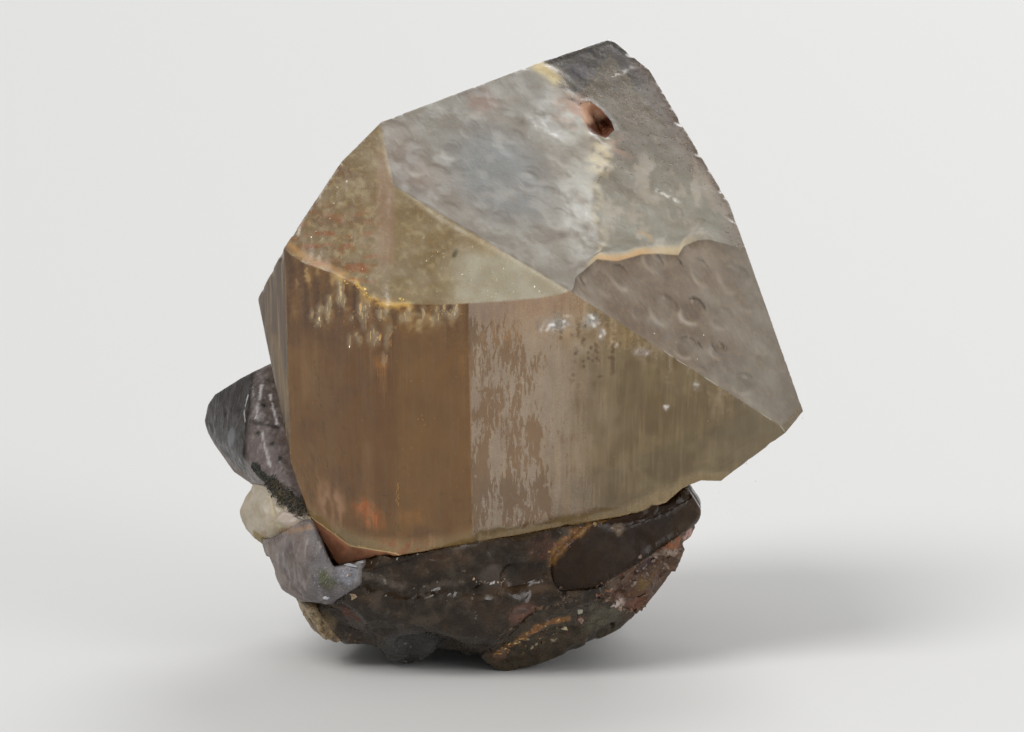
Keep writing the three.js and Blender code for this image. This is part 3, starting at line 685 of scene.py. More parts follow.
# the pink band: a painted internal reflection
band = D * smooth(374, 379, u_) * smooth(398, 392, u_) * smooth(140, 160, v_) * smooth(285, 245, v_)
paint(band * 0.75, lin(180, 150, 124), 0.24, 0.45)
paint(D * smooth(396, 412, u_) * smooth(200, 225, v_) * cloud(0.2, 0.2, 0.9, 214, -0.1, 0.4) * 0.5, lin(176, 146, 92))
paint(D * smooth(430, 480, u_ + wob) * smooth(240, 262, v_) * 0.9, lin(192, 190, 168), 0.3, 0.38)
iron_line = [(338, 277), (359, 287), (368.6, 296.5), (387, 304), (408, 307)]
paint((B + D) * near_line(iron_line, 4.0) * cloud(1.2, 1.2, 1.2, 215, -0.5, 0.1) * 0.9, lin(224, 182, 92), 0.3, 0.15)
paint(D * near_line([(290, 244), (316, 262), (345, 276)], 3.5) * 0.7, lin(204, 150, 84), 0.3, 0.3)
paint(D * near_line([(384, 128), (387, 160), (396, 184), (436, 216), (500, 252), (568, 290)], 2.6) * (0.45 + 0.3 * cloud(0.6, 0.6, 0.6, 216, -0.3, 0.4)),
      lin(226, 220, 198), 0.26, 0.3)
paint(D * blob(uv, 455, 253, 4, 9, 25), lin(70, 66, 40), 0.3, 0.1)

# the frosted dome face: bluish white, pink brown towards the upper left, a clear grey corner at the upper right
paint(west, lin(146, 141, 128), 0.40, 0.44)
paint(west * smooth(560, 400, u_) * smooth(215, 120, v_) * cloud(0.12, 0.12, 0.12, 221, -0.45, 0.25) * 0.8, lin(146, 131, 112))
paint(west * np.maximum(blob(uv, 478, 108, 52, 26, -25), 0.9 * blob(uv, 408, 168, 44, 24, 55)) * cloud(0.22, 0.22, 0.22, 222, -0.3, 0.3) * 0.7,
      lin(156, 122, 100))
paint(west * smooth(60, 10, line_distance(uv, [(384, 160), (436, 216), (570, 292)])[0]) * smooth(520, 430, u_) * 0.6, lin(142, 126, 110))
paint(west * blob(uv, 505, 178, 84, 54, 34) * 0.75, lin(140, 149, 153), None, 0.5)
paint(west * np.maximum(blob(uv, 580, 210, 34, 70, -8), blob(uv, 560, 120, 40, 40)) * cloud(0.3, 0.3, 0.3, 223, -0.5, 0.2) * 0.85,
      lin(200, 203, 197), 0.44, 0.24)
paint(west * cloud(0.34, 0.34, 0.34, 224, 0.05, 0.55) * 0.5, lin(184, 184, 178), None, 0.32)
paint(west * cloud(0.5, 0.5, 0.5, 225, 0.1, 0.5) * 0.3, lin(134, 128, 118), None, 0.6)
# painted shade and highlights of the pits on the dome face
crescents(west, PITS_E, lin(104, 98, 92), lin(216, 216, 208), 0.6)
paint(east, lin(104, 102, 94), 0.30, 0.60)
paint(east * smooth(140, 225, v_) * 0.85, lin(148, 149, 133), 0.34, 0.42)
# painted shade and highlights of the pits east of the healed line
crescents(east, PITS_F, lin(84, 76, 66), lin(216, 210, 196), 0.5)
paint(east * cloud(0.5, 0.2, 0.2, 226, 0.0, 0.45) * smooth(110, 170, v_) * 0.5, lin(196, 190, 176), None, 0.4)
corner = smooth(110, 84, v_ + 0.35 * (u_ - 600) + wob)
paint(east * corner * 0.85, lin(76, 76, 74), 0.20, 0.74)
paint(east * blob(uv, 580, 70, 18, 12, 20) * 0.7, lin(84, 80, 98), 0.2, 0.66)
# painted glints along the small facet line at the upper right corner
paint(east * near_line([(610, 80), (617, 73), (622, 73), (634, 66), (644, 63)], 2.4) * cloud(1.6, 1.6, 1.6, 229, -0.4, 0.2), lin(196, 198, 196), 0.2, 0.3)
paint(east * blob(uv, 636, 108, 34, 18, 30) * 0.6, lin(108, 102, 94), 0.22, 0.66)
rim_line = [(646, 64), (693, 140), (729, 203), (752, 263), (779, 340), (801, 405)]
paint((east + G * 0.7) * smooth(24, 2, line_distance(uv, rim_line)[0] + 0.6 * wob) * 0.5, lin(136, 106, 82), 0.26, 0.6)
paint(E * near_line(HEAL_LINE, 7.0) * cloud(0.55, 0.55, 0.55, 227, -0.3, 0.4) * 0.7, lin(208, 201, 176), 0.34, 0.25)
paint(E * near_line([(534, 62), (546, 70), (556, 80)], 6.0) * 0.8, lin(224, 206, 150), 0.3, 0.2)
paint(E * blob(uv, 600, 158, 18, 26, 10) * cloud(0.7, 0.7, 0.7, 230, -0.5, 0.2) * 0.8, lin(222, 212, 178), 0.34, 0.2)
halo = np.maximum(blob(uv, 574, 112, 26, 32, -35), 0.8 * blob(uv, 625, 146, 22, 14, 30))
paint(E * halo * cloud(0.4, 0.4, 0.4, 228, -0.4, 0.3) * 0.7, lin(192, 148, 124), 0.4, 0.3)
d_mouth = np.linalg.norm(points - mouth, axis=1)
paint(E * (1 - smooth(2.0, 4.2, d_mouth + 1.4 * perlin(points * 0.7, 69))) * 0.8, lin(170, 136, 112), 0.45, 0.15)
paint(E * (1 - smooth(1.8, 3.4, d_mouth)) * cloud(0.9, 0.9, 0.9, 234, 0.05, 0.3) * 0.8, lin(128, 68, 44), 0.45, 0.1)
paint(E * smooth(16, 4, d_edge + 0.5 * wob) * smooth(588, 612, u_) * smooth(722, 676, u_) * 0.8, lin(206, 182, 130), 0.4, 0.25)
paint(E * smooth(9, 2, d_edge + 0.3 * wob) * smooth(604, 620, u_) * smooth(676, 650, u_) * 0.6, lin(212, 160, 92), 0.4, 0.3)
paint(E * near_line([(640, 232), (652, 238), (656, 248)], 2.0) * 0.5, lin(206, 160, 96), 0.4, 0.3)
paint(E * blob(uv, 540, 68, 14, 8, 30) * 0.5, lin(222, 200, 140), 0.3, 0.2)

# painted glints: short white strokes on the dome face
for line, k in [([(546, 129), (556, 136)], 0.7), ([(657, 190), (668, 196), (677, 201)], 0.75), ([(586, 212), (592, 226)], 0.5), ([(541, 120), (547, 126)], 0.4),
                ([(531, 118), (536, 127)], 0.4)]:
    paint(E * near_line(line, 2.0) * cloud(1.6, 1.6, 1.6, 235, -0.2, 0.25) * k, lin(246, 248, 246), 0.25, 0.1)

# the second dome face: mauve grey, scalloped
paint(G, lin(150, 139, 126), 0.36, 0.48)
paint(G * smooth(700, 600, u_) * 0.45, lin(138, 124, 108))
# painted shade on the second dome face just below the step
paint(G * smooth(8, 1.0, d_edge) * 0.7, lin(98, 84, 70), 0.5, 0.3)
paint(G * cloud(0.22, 0.22, 0.22, 231, 0.0, 0.5) * 0.35, lin(160, 152, 140), None, 0.42)
paint(G * cloud(0.35, 0.35, 0.35, 232, 0.1, 0.5) * 0.3, lin(124, 112, 98), None, 0.6)
paint(G * smooth(690, 770, u_) * 0.5, lin(168, 164, 152))
# painted shade and highlights of the scalloped pits
crescents(G, PITS_G, lin(62, 48, 34), lin(208, 200, 186), 0.85)
for x, y in [(626, 262), (610, 268), (605, 272), (667, 269), (686, 270), (590, 293), (714, 347), (722, 345), (700, 345)]:
    paint(G * blob(uv, x, y, 1.6, 7.5, -32) * 0.9, lin(64, 48, 34), None, 0.2)
paint(G * smooth(9, 2, line_distance(uv, [(570, 296), (618, 328), (668, 357), (726, 391), (778, 424)])[0] + 0.4 * wob) * 0.4, lin(186, 178, 162))
paint(is_("H"), lin(176, 166, 142), 0.25, 0.6)

# the stained corner, and the faces that the front hides
paint(is_("W1"), lin(222, 154, 122), 0.34, 0.2)
paint(is_("W2"), lin(212, 150, 116), 0.34, 0.2)
paint(is_("W1", "W2") * cloud(0.5, 0.5, 0.5, 241, 0.0, 0.5) * 0.5, lin(160, 92, 62))
paint(is_("W1", "W2") * smooth(9, 2, line_distance(uv, [(314, 520), (336, 563), (352, 560)])[0]) * 0.5, lin(206, 146, 110))
paint(is_("S1", "S2", "T1", "T2"), lin(178, 168, 148), 0.28, 0.55)
paint(is_("R1", "R3", "K"), lin(172, 158, 138), 0.24, 0.6)
paint(is_("BK", "RB", "RU"), lin(186, 160, 112), 0.16, 0.78)
paint(is_("RL", "VL", "V", "U", "Z0", "Z1", "Z2"), lin(176, 144, 104), 0.34, 0.5)
paint(is_("pit"), lin(228, 186, 158), 0.45, 0.06)
paint(is_("pit") * cloud(1.2, 1.2, 1.2, 233, 0.0, 0.4) * 0.6, lin(244, 214, 192), 0.4, 0.05)
paint(is_("pit") * smooth(116, 124, v_ + 0.35 * (u_ - 596) + 1.0 * wob), lin(84, 28, 16), 0.4, 0.05)
frost[:] = west * 0.7 + east * 0.45 * (1 - 0.8 * corner) + G * 0.35 + is_("S1", "S2", "T1", "T2", "R1", "R3", "K") * 0.6 + D * 0.5

# edge points take the middle of their neighbours
pairs = np.vstack([triangles[:, [0, 1]], triangles[:, [1, 2]], triangles[:, [2, 0]]])
pairs = np.vstack([pairs, pairs[:, ::-1]])
pairs = pairs[is_edge[pairs[:, 0]] & ~is_edge[pairs[:, 1]]]
tally = np.bincount(pairs[:, 0], minlength=count)
has = tally > 0
for channel in (rough, clear, etch, frost):
    channel[has] = (np.bincount(pairs[:, 0], channel[pairs[:, 1]], count) / np.maximum(tally, 1))[has]
for k in range(3):
    tint[has, k] = (np.bincount(pairs[:, 0], tint[pairs[:, 1], k], count) / np.maximum(tally, 1))[has]

stained = np.array([bool(touches.get(i, set()) & {"W1", "W2"} and touches[i] & {"B1", "B2", "A"}) for i in range(count)])
tint[stained], rough[stained], clear[stained] = lin(232, 206, 150), 0.3, 0.2

topaz = closed_mesh("topaz_detailed", moved, triangles, {
    "tint": tint, "rough": rough, "clear": clear, "etch": etch, "frost": frost}, sharp=22)
# the step between the two frosted faces is shallow, but crisp
ends_ = np.empty(len(topaz.data.edges) * 2, np.int32)
topaz.data.edges.foreach_get("vertices", ends_)
on_step = np.array([{"E", "G"} <= touches.get(i, set()) for i in range(count)])
crisp = topaz.data.attributes["sharp_edge"].data
for k in np.where(on_step[ends_.reshape(-1, 2)].all(1))[0]:
    crisp[int(k)].value = True

# ------------------------------------------------------------------ materials

def link(tree, a, b):
    tree.links.new(a, b)


def node(tree, kind, **settings):
    n = tree.nodes.new(kind)
    for key, value in settings.items():
        if key in ("operation", "blend_type", "data_type", "feature", "distance", "attribute_name", "noise_type", "noise_dimensions",
                   "normalize", "voronoi_dimensions", "interpolation_type", "mapping_type", "clamp", "use_clamp", "clamp_factor"):
            setattr(n, key, value)
        else:
            n.inputs[key].default_value = value
    return n


def new_material(name):
    mat = bpy.data.materials.new(name)
    mat.use_nodes = True
    tree = mat.node_tree
    tree.nodes.clear()
    out = tree.nodes.new("ShaderNodeOutputMaterial")
    shader = tree.nodes.new("ShaderNodeBsdfPrincipled")
    link(tree, shader.outputs["BSDF"], out.inputs["Surface"])
    return mat, tree, shader, out


def place(tree, stretch=(1.0, 1.0, 1.0), turn=(0.0, 0.0, 0.0)):
    """The object's own coordinates in millimetres, stretched and turned."""
    where = tree.nodes.new("ShaderNodeTexCoord")
    m = node(tree, "ShaderNodeMapping")
    m.inputs["Rotation"].default_value = turn
    m.inputs["Scale"].default_value = [k / MM for k in stretch]
    link(tree, where.outputs["Object"], m.inputs["Vector"])
    return m.outputs["Vector"]


def noise(tree, vector, scale, detail=3.0, roughness=0.5, distortion=0.0):
    n = node(tree, "ShaderNodeTexNoise")
    n.inputs["Scale"].default_value = scale
    n.inputs["Detail"].default_value = detail
    n.inputs["Roughness"].default_value = roughness
    n.inputs["Distortion"].default_value = distortion
    link(tree, vector, n.inputs["Vector"])
    return n.outputs["Fac"]


def attribute(tree, name, kind="Fac"):
    n = tree.nodes.new("ShaderNodeAttribute")
    n.attribute_name = name
    return n.outputs[kind]


def ranged(tree, value, a, b, c=0.0, d=1.0, soft=True):
    n = tree.nodes.new("ShaderNodeMapRange")
    n.interpolation_type = "SMOOTHSTEP" if soft else "LINEAR"
    for key, x in zip(("From Min", "From Max", "To Min", "To Max"), (a, b, c, d)):
        n.inputs[key].default_value = x
    link(tree, value, n.inputs["Value"])
    return n.outputs["Result"]


def maths(tree, kind, a, b=None, c=None):
    n = tree.nodes.new("ShaderNodeMath")
    n.operation = kind
    for socket, x in zip(n.inputs, (a, b, c)):
        if x is None:
            continue
        if isinstance(x, (int, float)):
            socket.default_value = x
        else:
            link(tree, x, socket)
    return n.outputs[0]


def mix_colour(tree, factor, a, b, kind="MIX"):
    n = tree.nodes.new("ShaderNodeMix")
    n.data_type = "RGBA"
    n.blend_type = kind
    for socket, x in zip((n.inputs[0], n.inputs[6], n.inputs[7]), (factor, a, b)):
        if isinstance(x, (int, float)):
            socket.default_value = x
        elif isinstance(x, (tuple, list, np.ndarray)):
            socket.default_value = (*[float(k) for k in x], 1.0)
        else:
            link(tree, x, socket)
    return n.outputs[2]


def bump(tree, height_socket, strength, distance, normal=None):
    n = tree.nodes.new("ShaderNodeBump")
    n.inputs["Strength"].default_value = strength
    n.inputs["Distance"].default_value = distance * MM
    link(tree, height_socket, n.inputs["Height"])
    if normal is not None:
        link(tree, normal, n.inputs["Normal"])
    return n.outputs["Normal"]


def topaz_material():
    mat, tree, shader, out = new_material("topaz")
    base = attribute(tree, "tint", "Color")
    f_rough, f_clear = attribute(tree, "rough"), attribute(tree, "clear")
    f_etch, f_frost = attribute(tree, "etch"), attribute(tree, "frost")
    plain = place(tree)
    # the etched skin of the front prism face, and the clear brown windows in it: upright dashes that run together
    fine_dash = noise(tree, place(tree, (3.3, 3.3, 0.72)), 1.0, 5.0, 0.62, 0.5)
    wide_dash = noise(tree, place(tree, (0.42, 0.42, 0.15)), 1.0, 2.0, 0.5)
    field = maths(tree, "ADD", fine_dash, maths(tree, "MULTIPLY", wide_dash, 0.90))
    field = maths(tree, "ADD", field, maths(tree, "MULTIPLY", f_etch, 0.30))
    dash = maths(tree, "MULTIPLY", ranged(tree, field, 1.215, 1.25), ranged(tree, f_etch, 0.0, 0.7, 0.0, 0.50))
    cloud_ = noise(tree, plain, 0.28, 4.0, 0.6)
    streak = noise(tree, place(tree, (2.2, 2.2, 0.16)), 1.0, 3.0, 0.55)
    hair = noise(tree, place(tree, (5.5, 5.5, 0.10)), 1.0, 1.0, 0.5)
    glassy = maths(tree, "SUBTRACT", 1.0, f_frost)
    colour = mix_colour(tree, ranged(tree, cloud_, 0.3, 0.7, 0.0, 0.28), base, lin(150, 108, 66), "MULTIPLY")
    colour = mix_colour(tree, maths(tree, "MULTIPLY", ranged(tree, streak, 0.42, 0.75, 0.0, 0.22), glassy), colour, lin(226, 196, 146))
    colour = mix_colour(tree, maths(tree, "MULTIPLY", ranged(tree, hair, 0.62, 0.70, 0.0, 0.16), glassy), colour, lin(236, 214, 170))
    colour = mix_colour(tree, dash, colour, lin(178, 132, 74))
    # frost: milky clouds with thin brownish gaps, and fine slanting scratches
    milky = noise(tree, place(tree, (0.34, 0.34, 0.26)), 0.9, 4.0, 0.55)
    gaps = noise(tree, place(tree, (1.5, 1.1, 1.0)), 0.9, 5.0, 0.62, 0.8)
    colour = mix_colour(tree, maths(tree, "MULTIPLY", ranged(tree, milky, 0.42, 0.7), maths(tree, "MULTIPLY", f_frost, 0.42)), colour, lin(190, 190, 182))
    colour = mix_colour(tree, maths(tree, "MULTIPLY", ranged(tree, gaps, 0.56, 0.68), maths(tree, "MULTIPLY", f_frost, 0.16)), colour, lin(134, 124, 112))
    turned = place(tree, (1.0, 1.0, 1.0), (0.0, math.radians(42), 0.0))
    slant = node(tree, "ShaderNodeMapping")
    slant.inputs["Scale"].default_value = (5.0, 1.0, 0.5)
    link(tree, turned, slant.inputs["Vector"])
    scratch = ranged(tree, noise(tree, slant.outputs["Vector"], 1.0, 2.0, 0.5), 0.66, 0.72)
    scratch = maths(tree, "MULTIPLY", scratch, f_frost)
    colour = mix_colour(tree, maths(tree, "MULTIPLY", scratch, 0.28), colour, lin(214, 212, 202))
    link(tree, colour, shader.inputs["Base Color"])
    r = maths(tree, "ADD", f_rough, ranged(tree, noise(tree, plain, 1.4, 4.0), 0.3, 0.7, -0.04, 0.06))
    r = maths(tree, "MULTIPLY", r, maths(tree, "SUBTRACT", 1.0, maths(tree, "MULTIPLY", dash, 0.75)))
    link(tree, r, shader.inputs["Roughness"])
    c = maths(tree, "ADD", f_clear, maths(tree, "MULTIPLY", dash, 0.38))
    c = maths(tree, "SUBTRACT", c, maths(tree, "MULTIPLY", f_frost, ranged(tree, milky, 0.4, 0.75, 0.0, 0.22)))
    n = tree.nodes.new("ShaderNodeClamp")
    link(tree, c, n.inputs["Value"])
    link(tree, n.outputs[0], shader.inputs["Transmission Weight"])
    fine = maths(tree, "MULTIPLY", noise(tree, plain, 2.6, 6.0, 0.6), f_frost)
    stripes = noise(tree, place(tree, (7.0, 7.0, 0.12)), 1.0, 2.0)
    tall = maths(tree, "ADD", fine, maths(tree, "MULTIPLY", stripes, 0.12))
    tall = maths(tree, "SUBTRACT", tall, maths(tree, "MULTIPLY", dash, 0.35))
    tall = maths(tree, "SUBTRACT", tall, maths(tree, "MULTIPLY", scratch, 0.25))
    link(tree, bump(tree, tall, 0.32, 0.10), shader.inputs["Normal"])
    shader.inputs["IOR"].default_value = 1.62
    shader.inputs["Specular IOR Level"].default_value = 0.26
    inside_ = tree.nodes.new("ShaderNodeVolumeAbsorption")
    inside_.inputs["Color"].default_value = (0.68, 0.47, 0.14, 1)
    inside_.inputs["Density"].default_value = 32.0
    link(tree, inside_.outputs[0], out.inputs["Volume"])
    return mat


topaz.data.materials.append(topaz_material())
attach(topaz, "root")
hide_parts("topaz_crystal")

# ------------------------------------------------------------------ what is sealed in the topaz

def chips(name, items, rng, material):
    """Small closed lumps as one piece. Each item is (place in mm, the way its flat side faces, half sizes along its
    first side, its second side and its thickness, turn in degrees, colour)."""
    bm = bmesh.new()
    points_, triangles_, colours_ = [], [], []
    for at, facing_, (ra, rb, rc), turn, colour in items:
        n = np.asarray(facing_, float)
        n = n / np.linalg.norm(n)
        a = np.cross([0, 0, 1.0], n)
        a = a / np.linalg.norm(a) if np.linalg.norm(a) > 1e-3 else np.array([1.0, 0, 0])
        b = np.cross(n, a)
        c_, s_ = math.cos(math.radians(turn)), math.sin(math.radians(turn))
        a, b = a * c_ + b * s_, b * c_ - a * s_
        q = rng.normal(size=(12, 3))
        q /= np.linalg.norm(q, axis=1, keepdims=True)
        q *= rng.uniform(0.75, 1.1, (12, 1))
        q = np.asarray(at) + q[:, :1] * ra * a + q[:, 1:2] * rb * b + q[:, 2:] * rc * n
        lump = bmesh.new()
        for p in q:
            lump.verts.new(p)
        bmesh.ops.convex_hull(lump, input=lump.verts)
        bmesh.ops.delete(lump, geom=[v for v in lump.verts if not v.link_faces], context="VERTS")
        bmesh.ops.triangulate(lump, faces=lump.faces)
        bmesh.ops.recalc_face_normals(lump, faces=lump.faces)
        lump.verts.index_update()
        base_ = len(points_)
        points_ += [list(v.co) for v in lump.verts]
        triangles_ += [[base_ + v.index for v in f.verts] for f in lump.faces]
        colours_ += [colour] * len(lump.verts)
        lump.free()
    bm.free()
    piece = closed_mesh(name, np.array(points_), np.array(triangles_), {"tint": np.array(colours_)}, sharp=18)
    piece.data.materials.append(material)
    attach(piece, "root")
    return piece


def chip_material(name, roughness, ior=1.5, clear_=0.0, mirror=0.0):
    mat, tree, shader, out = new_material(name)
    mottled = noise(tree, place(tree), 2.2, 4.0, 0.6)
    colour = mix_colour(tree, ranged(tree, mottled, 0.38, 0.62), mix_colour(tree, 1.0, attribute(tree, "tint", "Color"), (0.62, 0.58, 0.55), "MULTIPLY"),
                        attribute(tree, "tint", "Color"))
    link(tree, colour, shader.inputs["Base Color"])
    shader.inputs["Roughness"].default_value = roughness
    shader.inputs["Transmission Weight"].default_value = clear_
    shader.inputs["Metallic"].default_value = mirror
    shader.inputs["IOR"].default_value = ior
    link(tree, bump(tree, noise(tree, place(tree), 3.0, 4.0), 0.4, 0.05 if mirror == 0 else 0.01), shader.inputs["Normal"])
    return mat


FACE_OFFSETS = {}
for n_, offset_, _ in face_groups:
    k_ = max(FACE_NORMALS, key=lambda k: FACE_NORMALS[k] @ n_)
    if FACE_NORMALS[k_] @ n_ > math.cos(math.radians(1.2)):
        FACE_OFFSETS[k_] = (n_, offset_)


def under(name, x, y, deep):
    """A place in the topaz, deep mm beneath one of its faces at a pixel of the frame."""
    n, offset = FACE_OFFSETS[name]
    return on_plane((x, y), n, offset)[0] - n * deep


def inner(way, n):
    """A direction outside the crystal, as it runs inside after bending at a face."""
    across_ = (way - (way @ n) * n) / 1.62
    return across_ + math.sqrt(1 - across_ @ across_) * n


def flashing(name, rng, loose):
    """The way a flake under a face has to turn to flash, give or take a little."""
    n = FACE_OFFSETS[name][0]
    sun = np.array([-0.62, -0.50, 0.965])
    h = inner(-AHEAD, n) + inner(sun / np.linalg.norm(sun), n)
    h = h / np.linalg.norm(h) + rng.normal(size=3) * loose
    return h / np.linalg.norm(h)


def sealed():
    rng = np.random.RandomState(31)
    gold, glint, rust = [], [], []
    # golden slivers that hang below the shoulder edge, inside the left prism faces
    for x, y, long_ in SLIVERS:
        face_ = "B1" if x < 396 else "B2"
        gold.append((under(face_, x, y, rng.uniform(0.2, 1.4)), flashing(face_, rng, 0.10), (rng.uniform(0.08, 0.24), long_, 0.008), rng.normal() * 4,
                     mixed(lin(255, 248, 224)[None], lin(236, 208, 150)[None], [rng.rand()])[0]))
    # sparkling grains in the shoulder faces, and along the light line beside them
    for _ in range(360):
        x, y = rng.uniform(295, 540), rng.uniform(135, 298)
        if not inside(np.array([[x, y]]), [(372, 138), (300, 232), (292, 246), (352, 276), (386, 300), (560, 292), (436, 222), (392, 185)])[0]:
            continue
        face_ = "D1" if x < 385 else "D2"
        r = 0.035 + 0.09 * rng.rand() ** 3
        gold.append((under(face_, x, y, rng.uniform(0.1, 2.2)), flashing(face_, rng, 0.35), (r, r * rng.uniform(1.0, 2.2), r * 0.15), rng.uniform(0, 180),
                     mixed(lin(255, 252, 238)[None], lin(232, 212, 160)[None], [rng.rand() ** 1.5])[0]))
    for _ in range(32):
        x = rng.uniform(345, 410)
        y = np.interp(x, [338, 359, 368.6, 387, 408], [277, 287, 296.5, 304, 307]) + rng.normal() * 3
        face_ = "D2" if x > 372 else "D1"
        r = rng.uniform(0.08, 0.2)
        gold.append((under(face_, x, y - 2, rng.uniform(0.05, 0.5)), rng.normal(size=3), (r, r * 1.4, r * 0.6), rng.uniform(0, 180), lin(236, 204, 126)))
    # bright flakes beneath the front prism face's upper edge and here and there in the body
    for cx, cy, sx, sy, number, size in [(558, 324, 8, 3.6, 60, 0.5), (592, 321, 5, 4.5, 36, 0.42), (602, 334, 2, 5, 12, 0.25), (636, 350, 10, 3, 8, 0.12), (545, 332, 14, 6, 14, 0.22), (620, 345, 26, 9, 16, 0.14),
                                         (696, 386, 1.4, 3, 16, 0.34), (666, 407, 3, 2, 4, 0.2), (642, 352, 10, 4, 10, 0.1), (676, 330, 20, 12, 0, 0.1), (700, 420, 40, 26, 26, 0.10), (447, 312, 9, 3, 10, 0.2), (372, 316, 10, 6, 16, 0.22),
                                         (336, 328, 14, 12, 14, 0.14), (434, 418, 8, 4, 5, 0.14), (640, 440, 60, 40, 34, 0.08), (540, 430, 60, 60, 16, 0.08)]:
        for _ in range(number):
            x, y = cx + rng.normal() * sx, cy + rng.normal() * sy
            face_ = "C" if x > 468 else ("B2" if x > 396 else "B1")
            r = size * rng.uniform(0.3, 1.0)
            glint.append((under(face_, x, y, rng.uniform(0.15, 1.6)), flashing(face_, rng, 0.12), (r, r * rng.uniform(0.5, 1.8), 0.01),
                          rng.uniform(0, 180), lin(252, 251, 246)))
    for y in np.arange(484, 506, 1.6):
        glint.append((under("B2", 397.5 + rng.normal() * 0.6, y, 0.2), flashing("B2", rng, 0.08), (rng.uniform(0.06, 0.13), 0.2, 0.01), rng.normal() * 12,
                      lin(246, 236, 214)))
    # specks all through the clear part, as fine as dust
    for _ in range(240):
        x, y = rng.uniform(300, 740), rng.uniform(320, 520)
        face_ = "C" if x > 468 else ("B2" if x > 396 else "B1")
        r = rng.uniform(0.025, 0.06)
        glint.append((under(face_, x, y, 0.3 + 9 * rng.rand() ** 1.5), flashing(face_, rng, 0.3), (r, r * rng.uniform(1, 3), r * 0.3), rng.uniform(0, 180),
                      lin(236, 220, 186)))
    # rust: grains that spread along a healed crack at the lower left and along the lower edge
    for cx, cy, sx, sy, number, size, turn in [(370, 514, 7, 8, 16, 0.2, 40), (352, 496, 7, 8, 5, 0.14, 40), (410, 520, 12, 6, 6, 0.12, 0),
                                               (405, 547, 16, 3, 30, 0.2, 0), (500, 536, 4, 2, 6, 0.12, 0)]:
        c_, s_ = math.cos(math.radians(turn)), math.sin(math.radians(turn))
        for _ in range(number):
            a, b = rng.normal() * sx, rng.normal() * sy
            x, y = cx + a * c_ - b * s_ * 0.6, cy + a * s_ + b * c_ * 0.6
            face_ = "C" if x > 468 else ("B2" if x > 396 else "B1")
            r = size * rng.uniform(0.3, 1.0)
            rust.append((under(face_, x, y, rng.uniform(0.15, 1.1)), FACE_OFFSETS[face_][0] + rng.normal(size=3) * 0.4, (r, r * rng.uniform(0.7, 1.8), r * 0.3),
                         rng.uniform(0, 180), mixed(lin(214, 96, 36)[None], lin(150, 48, 24)[None], [rng.rand()])[0]))
    chips("sealed_gold", gold, rng, chip_material("golden_flakes", 0.3, mirror=0.35))
    chips("sealed_glints", glint, rng, chip_material("bright_flakes", 0.3))
    chips("sealed_rust", rust, rng, chip_material("rust_grains", 0.45))


sealed()

# ------------------------------------------------------------------ the grains of the matrix

def skin_of(keys):
    """The CAD solids of those names as one searchable surface, in mm."""
    pts, tris, run = [], [], 0
    for key in keys:
        mesh = NODES[key].data
        mesh.calc_loop_triangles()
        pts += [Vector(p) for p in coords(mesh)]
        tris += [[run + i for i in t.vertices] for t in mesh.loop_triangles]
        run += len(mesh.vertices)
    return BVHTree.FromPolygons(pts, tris)


STONE = [s_["node"] for s_ in frame["record"]["subparts"] if s_["node"] != "topaz_crystal"]


def contact(co, nrm, skin, reach, look=None):
    """How squarely each point faces another mineral's skin within reach mm (0 to 1), and how far away that is, as far
    as look mm."""
    look = look or reach
    weight, gap = np.zeros(len(co)), np.full(len(co), look)
    for i in range(len(co)):
        found = skin.find_nearest(Vector(co[i]), look)
        if found[0] is not None:
            to = np.array(found[0]) - co[i]
            d = float(np.linalg.norm(to))
            gap[i] = d
            face_ = float(to @ nrm[i]) / max(d, 1e-6)
            weight[i] = smooth(0.25, 0.6, np.array(face_)) * (1 - smooth(0.65 * reach, reach, np.array(d)))
    return weight, gap


def grain_mesh(key, voxel, swell):
    """A fine, even mesh of a CAD grain in mm, pushed out by swell, and further where it has to meet its neighbours:
    points, outward directions, triangles, and how firmly each point belongs to a contact."""
    bm = bmesh.new()
    bm.from_mesh(NODES[key].data)
    bmesh.ops.remove_doubles(bm, verts=bm.verts, dist=2e-6)
    mesh = bpy.data.meshes.new("work")
    bm.to_mesh(mesh)
    bm.free()
    work = bpy.data.objects.new("work", mesh)
    bpy.context.scene.collection.objects.link(work)
    modifier = work.modifiers.new("fine", "REMESH")
    modifier.mode = "VOXEL"
    modifier.voxel_size = voxel * MM
    fine = bpy.data.meshes.new_from_object(work.evaluated_get(bpy.context.evaluated_depsgraph_get()))
    bpy.data.objects.remove(work)
    bpy.data.meshes.remove(mesh)
    co, nrm = coords(fine), normals(fine)
    fine.calc_loop_triangles()
    tri = np.empty(len(fine.loop_triangles) * 3, np.int32)
    fine.loop_triangles.foreach_get("vertices", tri)
    bpy.data.meshes.remove(fine)
    near_stone, gap_stone = contact(co, nrm, skin_of([k for k in STONE if k != key]), 0.85)
    near_topaz, gap_topaz = contact(co, nrm, skin_of(["topaz_crystal"]), 0.62, 1.5)
    push = swell * smooth(0.35, 1.5, gap_topaz)
    push = push * (1 - near_stone) + (gap_stone * 0.5 + 0.22) * near_stone
    push = push * (1 - near_topaz) + np.maximum(gap_topaz - 0.04, 0.0) * near_topaz
    hold, tri = np.maximum(near_stone, near_topaz), tri.reshape(-1, 3)
    sides = np.vstack([tri[:, [0, 1]], tri[:, [1, 2]], tri[:, [2, 0]]])
    tally_ = np.maximum(np.bincount(sides[:, 0], minlength=len(co)), 1)
    for _ in range(3):
        push, hold = [0.5 * k + 0.5 * np.bincount(sides[:, 0], k[sides[:, 1]], len(co)) / tally_ for k in (push, hold)]
    return co + nrm * push[:, None], nrm, tri, hold


